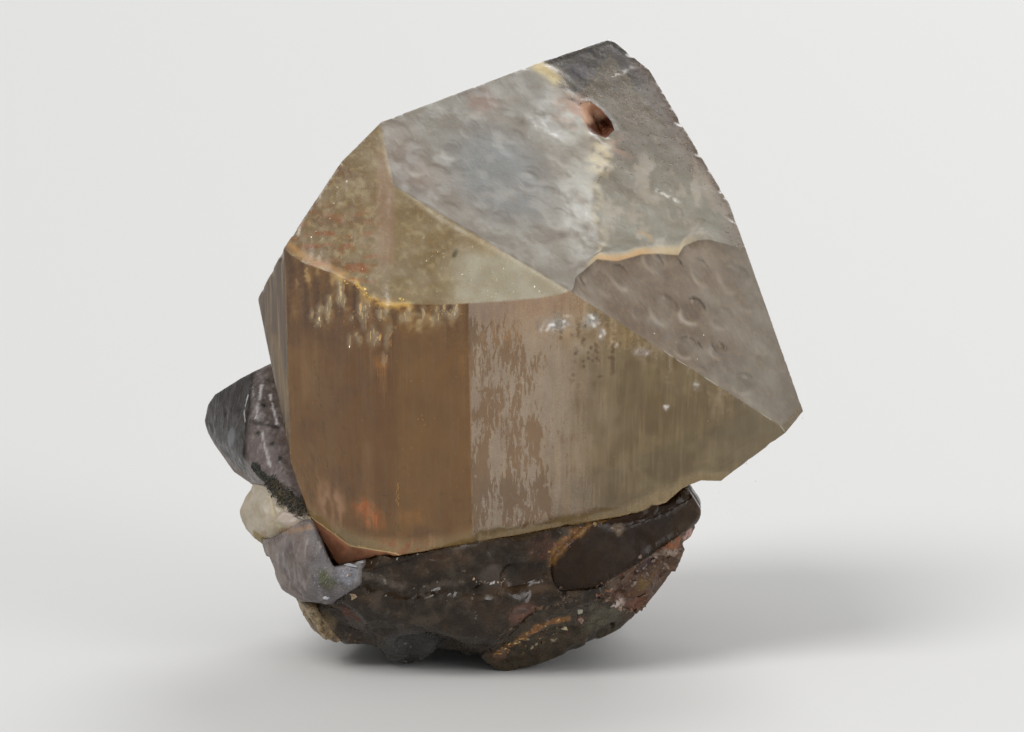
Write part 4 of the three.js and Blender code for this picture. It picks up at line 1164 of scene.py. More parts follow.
def directions(co, tri):
    n = np.cross(co[tri[:, 1]] - co[tri[:, 0]], co[tri[:, 2]] - co[tri[:, 0]])
    out = np.zeros_like(co)
    for k in range(3):
        np.add.at(out, tri[:, k], n)
    return out / np.maximum(np.linalg.norm(out, axis=1, keepdims=True), 1e-12)


def bowls(co, nrm, rng, number, radius, depth, tilt, ids=None):
    """Conchoidal scars: shallow bowls cut into the surface, each turned a little from it."""
    for i in rng.choice(len(co) if ids is None else ids, number):
        r = radius[0] + (radius[1] - radius[0]) * rng.rand() ** 1.6
        n = nrm[i] + rng.normal(size=3) * tilt
        n /= np.linalg.norm(n)
        deep = depth * r * rng.uniform(0.5, 1.2)
        d = co - co[i]
        far2 = (d * d).sum(1)
        near = far2 < (1.8 * r) ** 2
        up = d[near] @ n
        e = np.clip(up + deep - deep * (far2[near] - up ** 2) / r ** 2, 0, 2.5 * deep)
        co[near] -= n * (e * (1 - smooth(1.2 * r, 1.8 * r, np.sqrt(far2[near]))))[:, None]


def steps(co, nrm, rng, number, axes, size, depth):
    """Cleavage steps: flat patches cut parallel to the grain's cleavage directions."""
    axes = np.asarray(axes, float)
    axes /= np.linalg.norm(axes, axis=1, keepdims=True)
    for i in rng.randint(0, len(co), number):
        k = int(np.abs(axes @ nrm[i]).argmax())
        n = axes[k] * np.sign(axes[k] @ nrm[i])
        a, b = axes[(k + 1) % 3], axes[(k + 2) % 3]
        ha, hb = rng.uniform(size[0], size[1], 2)
        deep = depth[0] + (depth[1] - depth[0]) * rng.rand() ** 2
        d = co - co[i]
        e = np.clip(d @ n + deep, 0, 2.0 * deep)
        w = (1 - smooth(ha - 0.15, ha + 0.15, np.abs(d @ a))) * (1 - smooth(hb - 0.15, hb + 0.15, np.abs(d @ b)))
        co -= n * (e * w)[:, None]


def breaks(co, nrm, rng, number, size, deep, tilt):
    """Flat breaks at any slant, each ending in a crisp arris."""
    for i in rng.randint(0, len(co), number):
        r = size[0] + (size[1] - size[0]) * rng.rand() ** 1.4
        n = nrm[i] + rng.normal(size=3) * tilt
        n /= np.linalg.norm(n)
        depth = r * rng.uniform(*deep)
        d = co - co[i]
        far = np.sqrt((d * d).sum(1))
        near = far < 1.5 * r
        e = np.clip(d[near] @ n + depth, 0, 2.5 * depth)
        co[near] -= n * (e * (1 - smooth(1.15 * r, 1.5 * r, far[near])))[:, None]


def flats(co, rng, number, cut, lean=None, spread=1.0):
    """Broken flat faces: planes that cut the grain's outermost bulges."""
    for _ in range(number):
        n = rng.normal(size=3)
        if lean is not None:
            n = np.asarray(lean) + n * spread
        n /= np.linalg.norm(n)
        d = co @ n
        e = np.clip(d - (d.max() - rng.uniform(*cut)), 0, None)
        co -= n * e[:, None]


class Grain:
    def __init__(self, key, voxel=0.36, swell=0.2):
        self.key = key
        self.co, self.nrm, self.tri, self.hold = grain_mesh(key, voxel, swell)
        self.whole = self.co.copy()
        self.tint = self.rough = self.clear = self.grit = None

    def renew(self):
        self.nrm = directions(self.co, self.tri)

    def paint(self, mask, colour=None, rough=None, clear=None, grit=None):
        m = np.clip(mask, 0, 1)
        if colour is not None:
            self.tint = self.tint * (1 - m)[:, None] + np.asarray(colour) * m[:, None]
        for name, goal in (("rough", rough), ("clear", clear), ("grit", grit)):
            if goal is not None:
                setattr(self, name, getattr(self, name) * (1 - m) + goal * m)

    def start(self, colour, rough, clear, grit):
        n = len(self.co)
        self.tint = np.tile(np.asarray(colour, float), (n, 1))
        self.rough, self.clear, self.grit = np.full(n, float(rough)), np.full(n, float(clear)), np.full(n, float(grit))

    def finish(self, material, sharp=34):
        piece = closed_mesh(self.key + "_detailed", self.co, self.tri,
                            {"tint": self.tint, "rough": self.rough, "clear": self.clear, "grit": self.grit}, sharp=sharp)
        piece.data.materials.append(material)
        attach(piece, "root")
        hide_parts(self.key)
        return piece


def vary(g, freq, seed, octaves=4):
    return fbm(g.co * freq, octaves, seed)


grains = {}
rng = np.random.RandomState(21)

g = grains["smoky_quartz_matrix"] = Grain("smoky_quartz_matrix", 0.34, 0.16)
g.hold = np.maximum(g.hold, 0.6 * (1 - smooth(1.0, 4.0, g.whole[:, 2])))
breaks(g.co, g.nrm, rng, 90, (2.0, 5.0), (0.05, 0.12), 0.25)
g.renew()
bowls(g.co, g.nrm, rng, 40, (1.8, 4.5), 0.14, 0.25)
g.renew()
breaks(g.co, g.nrm, rng, 300, (0.7, 2.2), (0.06, 0.14), 0.3)
g.renew()
bowls(g.co, g.nrm, rng, 260, (0.4, 1.0), 0.12, 0.3)
# the undercut line beneath which the mass bulges forward
seam = np.array([(345, 577), (372, 590), (400, 597), (440, 594), (482, 598), (520, 588), (548, 578)], float)
seen_ = seen_at(g.co)
gap_ = seen_[:, 1] - np.interp(seen_[:, 0], seam[:, 0], seam[:, 1]) - 4 * perlin(g.co * 0.5, 76)
across_ = smooth(345, 365, seen_[:, 0]) * smooth(556, 536, seen_[:, 0]) * (g.nrm[:, 1] < -0.2)
g.co += np.array([0, 1.0, 0]) * (0.55 * across_ * smooth(2, -1, gap_) * smooth(-34, -2, gap_))[:, None]

g = grains["smoky_quartz_dark"] = Grain("smoky_quartz_dark", 0.32, 0.18)
bowls(g.co, g.nrm, rng, 10, (3.0, 7.0), 0.05, 0.08)
g.renew()
breaks(g.co, g.nrm, rng, 16, (1.0, 3.0), (0.03, 0.08), 0.18)
bowls(g.co, g.nrm, rng, 26, (0.4, 1.2), 0.10, 0.25)
g.co += g.nrm * (0.02 * vary(g, 0.5, 72))[:, None]

g = grains["smoky_quartz_crystal"] = Grain("smoky_quartz_crystal", 0.24, 0.18)
g.co += g.nrm * (0.03 * vary(g, 0.5, 73) + 0.018 * fbm(g.co * [2.6, 2.6, 0.22], 3, 75))[:, None]
bowls(g.co, g.nrm, rng, 26, (0.3, 0.9), 0.12, 0.3)

g = grains["feldspar_cream"] = Grain("feldspar_cream", 0.22, 0.18)
steps(g.co, g.nrm, rng, 26, [(0.2, -0.6, 0.77), (0.95, 0.25, 0.15), (0.3, -0.75, -0.6)], (0.8, 3.2), (0.05, 0.28))
g.renew()
breaks(g.co, g.nrm, rng, 14, (1.4, 3.4), (0.05, 0.11), 0.16)
bowls(g.co, g.nrm, rng, 16, (0.3, 0.8), 0.08, 0.25)

g = grains["feldspar_grey"] = Grain("feldspar_grey", 0.24, 0.18)
steps(g.co, g.nrm, rng, 40, [(-0.25, -0.95, 0.15), (0.9, -0.2, 0.35), (0.3, -0.2, -0.92)], (0.8, 3.6), (0.04, 0.22))
g.renew()
breaks(g.co, g.nrm, rng, 40, (0.4, 1.6), (0.05, 0.12), 0.25)

g = grains["feldspar_plates"] = Grain("feldspar_plates", 0.2, 0.2)
steps(g.co, g.nrm, rng, 60, [(-0.6, -0.3, -0.75), (0.5, -0.85, 0.1), (0.7, 0.4, -0.6)], (0.4, 1.8), (0.08, 0.4))

g = grains["feldspar_iron"] = Grain("feldspar_iron", 0.24, 0.18)
steps(g.co, g.nrm, rng, 90, [(0.7, -0.6, -0.3), (0.6, 0.75, 0.1), (0.2, -0.25, 0.95)], (0.4, 2.0), (0.08, 0.42))
g.renew()
breaks(g.co, g.nrm, rng, 90, (0.5, 1.8), (0.08, 0.18), 0.35)
g.co += g.nrm * (0.03 * vary(g, 1.3, 74))[:, None]

g = grains["quartz_vein_block"] = Grain("quartz_vein_block", 0.28, 0.18)
breaks(g.co, g.nrm, rng, 40, (1.2, 3.6), (0.06, 0.14), 0.3)
g.renew()
steps(g.co, g.nrm, rng, 40, [(0.3, -0.9, -0.3), (0.9, 0.35, 0.1), (0.1, -0.3, 0.95)], (0.5, 2.2), (0.06, 0.32))
g.renew()
bowls(g.co, g.nrm, rng, 120, (0.4, 1.1), 0.13, 0.3)

# the carving leaves the contacts alone, and nothing reaches below the surface that the specimen rests on
for g in grains.values():
    g.co += (g.whole - g.co) * (g.hold * 0.9)[:, None]
    g.co[:, 2] = np.maximum(g.co[:, 2], 0.0)
    g.renew()

# where a pixel of the frame meets the grains
ray_points, ray_faces, run = [], [], 0
for g in grains.values():
    ray_points += [Vector(p) for p in g.co]
    ray_faces += (g.tri + run).tolist()
    run += len(g.co)
SKIN = BVHTree.FromPolygons(ray_points, ray_faces)


def hit(x, y):
    """The place on the grains that falls at a pixel of the frame, in mm, and the direction it faces."""
    ray = AHEAD + (x - WIDE / 2) / FOCAL * np.array([1.0, 0, 0]) + (HIGH / 2 - y) / FOCAL * ABOVE
    place_, normal, _, _ = SKIN.ray_cast(Vector(EYE), Vector(ray).normalized())
    return (None, None) if place_ is None else (np.array(place_), np.array(normal))


def spot(g, x, y, r, wobble=0.35, seed=0, soft=0.45):
    """1 near the place seen at a pixel, 0 further than r mm from it, with an uneven border."""
    at = hit(x, y)[0]
    if at is None:
        return np.zeros(len(g.co))
    d = np.linalg.norm(g.co - at, axis=1) / r + wobble * perlin(g.co * (1.4 / r), 80 + seed)
    return 1 - smooth(1 - soft, 1 + soft * 0.4, d)


def vein(g, line, width, wobble=0.4, seed=0):
    """1 along a line of the frame laid on the grains, width mm to each side."""
    at = [p for p in (hit(*xy)[0] for xy in line) if p is not None]
    best = np.full(len(g.co), 1e9)
    for a, b in zip(at[:-1], at[1:]):
        ab = b - a
        t = np.clip(((g.co - a) @ ab) / max(ab @ ab, 1e-9), 0, 1)
        best = np.minimum(best, np.linalg.norm(g.co - a - t[:, None] * ab, axis=1))
    return 1 - smooth(0.6, 1.15, best / width + wobble * perlin(g.co * 0.9, 90 + seed))


def rock_material(name, ior=1.54, deep=None, fine=2.4, speck=None, grain_scale=1.3, streak=None, bump_mm=0.05, pale=None, gloss=0.5,
                  shade=(0.60, 0.57, 0.54)):
    """A mineral's surface: painted colour with finer mottling, grit and small pits. deep is the colour and strength of
    its absorption where it is clear, speck a (colour, amount) of small dark grains, pale of larger light clouds, and
    streak (stretch, colour, amount) of bands."""
    mat, tree, shader, out = new_material(name)
    base = attribute(tree, "tint", "Color")
    grit = attribute(tree, "grit")
    plain = place(tree)
    mottled = noise(tree, plain, 0.55 * grain_scale, 5.0, 0.62, 0.3)
    colour = mix_colour(tree, ranged(tree, mottled, 0.36, 0.6), mix_colour(tree, 1.0, base, shade, "MULTIPLY"), base)
    if pale is not None:
        cloud_ = noise(tree, plain, 0.9 * grain_scale, 5.0, 0.65, 0.6)
        colour = mix_colour(tree, ranged(tree, cloud_, 0.52, 0.72, 0.0, pale[1]), colour, pale[0])
    if streak is not None:
        band = noise(tree, place(tree, *streak[0]), 1.0, 4.0, 0.6, 0.3)
        colour = mix_colour(tree, ranged(tree, band, 0.5, 0.68, 0.0, streak[2]), colour, streak[1])
    if speck is not None:
        dots = noise(tree, plain, 3.4, 2.0, 0.5)
        colour = mix_colour(tree, ranged(tree, dots, 0.62, 0.68, 0.0, speck[1]), colour, speck[0])
    crumbs = maths(tree, "MULTIPLY", ranged(tree, noise(tree, plain, 4.5, 3.0, 0.6), 0.56, 0.68, 0.0, 0.5), grit)
    colour = mix_colour(tree, crumbs, colour, (0.50, 0.47, 0.43))
    link(tree, colour, shader.inputs["Base Color"])
    rough = maths(tree, "ADD", attribute(tree, "rough"), ranged(tree, noise(tree, plain, 1.1, 4.0, 0.6), 0.3, 0.7, -0.10, 0.14))
    n = tree.nodes.new("ShaderNodeClamp")
    n.inputs["Min"].default_value = 0.05
    link(tree, rough, n.inputs["Value"])
    link(tree, n.outputs[0], shader.inputs["Roughness"])
    if deep is not None:
        link(tree, attribute(tree, "clear"), shader.inputs["Transmission Weight"])
        volume = tree.nodes.new("ShaderNodeVolumeAbsorption")
        volume.inputs["Color"].default_value = (*deep[0], 1)
        volume.inputs["Density"].default_value = deep[1]
        link(tree, volume.outputs[0], out.inputs["Volume"])
    ridges = noise(tree, plain, fine, 5.0, 0.62)
    height_ = maths(tree, "MULTIPLY", ridges, maths(tree, "ADD", grit, 0.25))
    if streak is not None:
        height_ = maths(tree, "ADD", height_, maths(tree, "MULTIPLY", band, 0.5))
    link(tree, bump(tree, height_, 0.7, bump_mm), shader.inputs["Normal"])
    shader.inputs["IOR"].default_value = ior
    shader.inputs["Specular IOR Level"].default_value = gloss
    return mat


def colours():
    """The minerals' own colours and the stains and grains that show on them, with some painted glints, and painted
    light on the grey crystal's front face.
    """
    g = grains["smoky_quartz_matrix"]
    g.start(lin(52, 40, 28), 0.18, 0.30, 0.05)
    g.paint(smooth(-0.1, 0.5, vary(g, 0.16, 101)), lin(60, 49, 38))
    g.paint(smooth(0.15, 0.6, vary(g, 0.22, 102)) * 0.6, lin(76, 54, 36))
    g.paint(smooth(0.25, 0.6, vary(g, 0.45, 103)) * 0.45, lin(86, 76, 64), 0.35, 0.2)
    low = smooth(590, 640, seen_at(g.co)[:, 1])
    g.paint(low * 0.5, lin(74, 64, 54), 0.28)
    g.paint(spot(g, 349, 613, 1.3, 0.9, 1) * 0.7, lin(96, 52, 38), 0.5, 0.0, 0.5)
    # painted glints: pale glossy lines and a patch where the matrix catches the light
    g.paint(vein(g, [(337, 567), (352, 573), (375, 577), (400, 588)], 0.5, 0.8, 1) * 0.6, lin(112, 102, 92), 0.16, 0.2)
    g.paint(vein(g, [(422, 590), (440, 584), (462, 582)], 0.4, 0.9, 5) * 0.6, lin(96, 86, 76), 0.16, 0.2)
    g.paint(spot(g, 491, 577, 1.5) * 0.7, lin(104, 92, 84), 0.10, 0.3)
    g.paint(spot(g, 525, 615, 1.9, 0.3, 2), lin(112, 80, 66), 0.4, 0.1, 0.5)
    g.paint(spot(g, 545, 548, 1.6, 0.7, 3) * 0.6, lin(88, 58, 42), 0.4, 0.1, 0.3)
    g.paint(vein(g, [(598, 521), (580, 531), (562, 542), (551, 562)], 0.6, 0.8, 3) * 0.8, lin(122, 88, 48), 0.35, 0.1, 0.3)
    g.paint(spot(g, 415, 645, 4.2, 0.3, 4), lin(84, 82, 80), 0.2, 0.5)
    g.paint(spot(g, 320, 625, 2.2, 0.5, 5), lin(120, 104, 76), 0.5, 0.05, 0.6)
    g.paint(vein(g, [(470, 600), (500, 590), (540, 586), (575, 592)], 0.7, 0.8, 6) * 0.6, lin(96, 76, 56), 0.3)
    g.paint(smooth(0.4, 0.75, vary(g, 0.3, 104)) * 0.6, lin(88, 68, 46), 0.45, 0.1, 0.5)

    g = grains["smoky_quartz_dark"]
    g.start(lin(44, 30, 19), 0.26, 0.15, 0.0)
    g.paint(smooth(0.1, 0.6, vary(g, 0.2, 105)) * 0.7, lin(54, 40, 28))
    g.paint(spot(g, 619, 530, 0.7, 0.7, 6) * 0.7, lin(120, 100, 80), 0.3, 0.1, 0.5)
    g.paint(vein(g, [(604, 520), (585, 528), (566, 540), (553, 560)], 0.6, 0.8, 3) * 0.8, lin(122, 88, 46), 0.35, 0.1, 0.3)
    g.paint(vein(g, [(690, 490), (699, 511), (697, 521)], 0.5, 0.5, 7), lin(84, 64, 46), 0.3)
    g.paint(smooth(665, 690, seen_at(g.co)[:, 0]) * 0.7, lin(72, 58, 42), 0.24)

    g = grains["smoky_quartz_crystal"]
    uv_ = seen_at(g.co)
    g.start(lin(38, 30, 22), 0.26, 0.15, 0.03)
    g.paint(smooth(0.0, 0.5, vary(g, 0.2, 106)) * 0.6, lin(38, 31, 24))
    # the front face painted lighter than the left faces: partly its own pinkish grey, partly painted light on the lit
    # face
    front = smooth(243, 252, uv_[:, 0] - 0.12 * (440 - uv_[:, 1]) * (uv_[:, 1] < 440)) * smooth(0.05, -0.3, g.nrm[:, 1])
    g.paint(front, lin(116, 106, 102), 0.22, 0.25, 0.1)
    g.paint(front * smooth(0.05, 0.4, fbm(g.co * [2.4, 2.4, 0.28], 4, 121)) * 0.6, lin(156, 150, 148), 0.12, 0.1)
    g.paint(front * smooth(0.1, 0.4, fbm(g.co * [1.9, 1.9, 0.2], 3, 123)) * 0.5, lin(84, 74, 72), 0.3)
    for k, line in enumerate([[(248, 395), (244, 412), (245, 421)], [(262, 385), (259, 400), (256, 418)], [(270, 395), (274, 412), (277, 424)],
                              [(262, 432), (265, 448), (270, 466)]]):
        g.paint(vein(g, line, 0.16, 0.7, 40 + k) * 0.9, lin(206, 204, 204), 0.12, 0.0)
    g.paint(front * smooth(424, 430, uv_[:, 1]) * 0.4, lin(132, 118, 116))
    g.paint(vein(g, [(247, 421), (262, 424), (278, 428)], 0.28, 0.4, 25), lin(66, 58, 56), 0.4, 0.1)
    g.paint(spot(g, 231, 437, 1.3, 0.25, 8) * 0.8, lin(110, 112, 116), 0.12, 0.3)
    g.paint(vein(g, [(217, 448), (228, 462), (246, 478)], 0.9, 0.4, 26) * 0.7, lin(128, 110, 100), 0.4, 0.1)
    g.paint(vein(g, [(254, 468), (263, 478), (278, 492), (293, 507), (306, 514)], 0.95, 0.5, 9), lin(40, 42, 36), 0.7, 0.0, 0.4)
    for k, (x, y) in enumerate([(246, 412), (240, 410), (258, 433), (272, 444), (264, 405), (280, 458)]):
        g.paint(spot(g, x, y, 0.35, 0.4, 60 + k), lin(40, 38, 34), 0.5, 0.0)

    g = grains["feldspar_cream"]
    uv_ = seen_at(g.co)
    g.start(lin(168, 157, 140), 0.40, 0.0, 0.1)
    g.paint(smooth(0.1, 0.6, vary(g, 0.35, 107)) * 0.5, lin(154, 142, 118))
    g.paint(spot(g, 296, 517, 2.0, 0.3, 10), lin(158, 144, 132))
    g.paint(vein(g, [(270, 498), (273, 510), (279, 526)], 0.28, 0.7, 27) * 0.6, lin(190, 178, 140))
    g.paint(vein(g, [(243, 524), (256, 537), (268, 541)], 0.8, 0.4, 11), lin(132, 114, 70), 0.5)
    g.paint(vein(g, [(262, 533), (285, 530), (312, 525)], 0.3, 0.7, 28) * 0.7, lin(140, 108, 72), 0.5)
    g.paint(spot(g, 262, 481, 0.5, 0.4, 12), lin(196, 120, 70))

    g = grains["feldspar_grey"]
    uv_ = seen_at(g.co)
    g.start(lin(118, 106, 100), 0.32, 0.0, 0.12)
    g.paint(smooth(0.0, 0.5, vary(g, 0.3, 108)) * 0.7, lin(98, 86, 80))
    g.paint(smooth(300, 318, uv_[:, 0] + 5 * vary(g, 0.5, 122)) * 0.9, lin(104, 101, 102), 0.45, 0.0, 0.6)
    g.paint(vein(g, [(268, 548), (284, 572), (300, 592)], 0.8, 0.7, 29) * 0.45, lin(136, 122, 114))
    g.paint(vein(g, [(290, 545), (282, 566), (300, 590)], 0.9, 0.8, 30) * 0.6, lin(94, 84, 82))
    g.paint(spot(g, 326, 581, 1.4, 0.6, 13), lin(84, 86, 62), 0.5)
    g.paint(spot(g, 347, 576, 1.3, 0.5, 14) * 0.8, lin(132, 134, 142), 0.5, 0.0, 1.0)
    g.paint(vein(g, [(270, 534), (290, 531), (311, 527)], 0.32, 0.7, 15) * 0.6, lin(150, 120, 92))

    g = grains["feldspar_plates"]
    g.start(lin(158, 136, 104), 0.5, 0.0, 0.4)
    g.paint(smooth(0.0, 0.5, vary(g, 0.5, 109)), lin(104, 86, 60))

    g = grains["feldspar_iron"]
    g.start(lin(84, 58, 40), 0.40, 0.05, 0.3)
    g.paint(smooth(0.0, 0.45, vary(g, 0.45, 110)) * 0.8, lin(78, 62, 46))
    g.paint(smooth(0.1, 0.45, vary(g, 0.6, 111)) * 0.8, lin(92, 56, 32))
    g.paint(spot(g, 688, 534, 1.0, 0.4, 16), lin(178, 146, 136))
    g.paint(spot(g, 672, 543, 1.6, 0.5, 17), lin(126, 76, 42))
    g.paint(vein(g, [(648, 560), (664, 554), (676, 552)], 0.5, 0.6, 31), lin(150, 130, 116))
    g.paint(spot(g, 645, 565, 1.3, 0.5, 18), lin(58, 34, 34), 0.15)
    g.paint(spot(g, 645, 583, 1.3, 0.4, 19), lin(98, 74, 34))
    # painted glint: a pale pinkish spot where the grain catches the light
    g.paint(spot(g, 619, 604, 1.1, 0.4, 20), lin(178, 160, 150), 0.25)
    g.paint(spot(g, 638, 602, 1.4, 0.6, 21), lin(104, 64, 44))
    g.paint(vein(g, [(598, 585), (620, 572), (632, 560)], 0.7, 0.4, 22), lin(120, 104, 88))

    g = grains["quartz_vein_block"]
    g.start(lin(72, 60, 42), 0.26, 0.3, 0.1)
    g.paint(smooth(0.0, 0.5, vary(g, 0.3, 112)), lin(62, 52, 36))
    g.paint(smooth(0.2, 0.6, vary(g, 0.4, 113)) * 0.6, lin(84, 56, 34))
    g.paint(vein(g, [(495, 655), (512, 644), (529, 634), (548, 623), (568, 618)], 0.5, 0.8, 23) * 0.8, lin(150, 102, 54), 0.3, 0.1)
    g.paint(spot(g, 605, 618, 2.4, 0.5, 28), lin(96, 90, 72))
    g.paint(spot(g, 500, 655, 1.0, 0.5, 29), lin(110, 84, 66))


colours()

SMOKE = ((0.52, 0.40, 0.30), 330.0)
LOOKS = {
    "smoky_quartz_matrix": rock_material("smoky_quartz", 1.54, SMOKE, 2.0, None, 0.9, pale=((0.10, 0.078, 0.056), 0.5), gloss=0.17),
    "smoky_quartz_dark": rock_material("smoky_quartz_black", 1.54, SMOKE, 1.6, None, 0.5, bump_mm=0.03, gloss=0.08),
    "smoky_quartz_crystal": rock_material("smoky_quartz_grey", 1.54, SMOKE, 2.2, ((0.05, 0.045, 0.04), 0.4), 1.0,
                                          (((3.0, 2.4, 0.26),), (0.17, 0.155, 0.15), 0.3), gloss=0.13, shade=(0.74, 0.72, 0.70)),
    "feldspar_cream": rock_material("feldspar_cream", 1.53, None, 1.6, None, 0.7, shade=(0.80, 0.77, 0.70), gloss=0.4),
    "feldspar_grey": rock_material("feldspar_grey", 1.53, None, 2.2, ((0.08, 0.07, 0.065), 0.5), 0.9,
                                   (((1.8, 1.0, 0.28), (0.0, math.radians(-30), 0.0)), (0.30, 0.272, 0.258), 0.5), shade=(0.72, 0.70, 0.70), gloss=0.3),
    "feldspar_plates": rock_material("feldspar_plates", 1.53, None, 2.6, ((0.10, 0.07, 0.04), 0.6), 1.4, gloss=0.35),
    "feldspar_iron": rock_material("feldspar_iron", 1.53, None, 2.4, ((0.07, 0.035, 0.02), 0.5), 1.5, bump_mm=0.05, pale=((0.22, 0.165, 0.125), 0.4), gloss=0.25),
    "quartz_vein_block": rock_material("quartz_vein", 1.54, SMOKE, 2.2, ((0.07, 0.04, 0.02), 0.5), 1.2, pale=((0.15, 0.12, 0.08), 0.4), gloss=0.3),
}
for key, g in grains.items():
    g.finish(LOOKS[key])

# ------------------------------------------------------------------ small grains that sit in the matrix

def seated(x, y, sides, turn, colour, sink=0.35, lean=0.15, rng=None):
    """A small grain seated at a pixel of the frame, with its flat side out."""
    at, n = hit(x, y)
    if at is None:
        return []
    tilt_ = n + (rng.normal(size=3) * lean if rng is not None else 0)
    return [(at - n * sides[2] * sink, tilt_, sides, turn, colour)]


def scatter(items, rng, line, spread, number, size, colours_, flat=0.6, long_=1.6):
    """Grains strewn along a line of the frame."""
    line = np.asarray(line, float)
    for _ in range(number):
        t = rng.uniform(0, len(line) - 1)
        i = min(int(t), len(line) - 2)
        x, y = line[i] + (line[i + 1] - line[i]) * (t - i) + rng.normal(size=2) * spread
        r = size[0] + (size[1] - size[0]) * rng.rand() ** 1.8
        items += seated(x, y, (r * rng.uniform(1.0, long_), r, r * flat), rng.uniform(0, 180), lin(*colours_[rng.randint(len(colours_))]),
                        0.35, 0.35, rng)


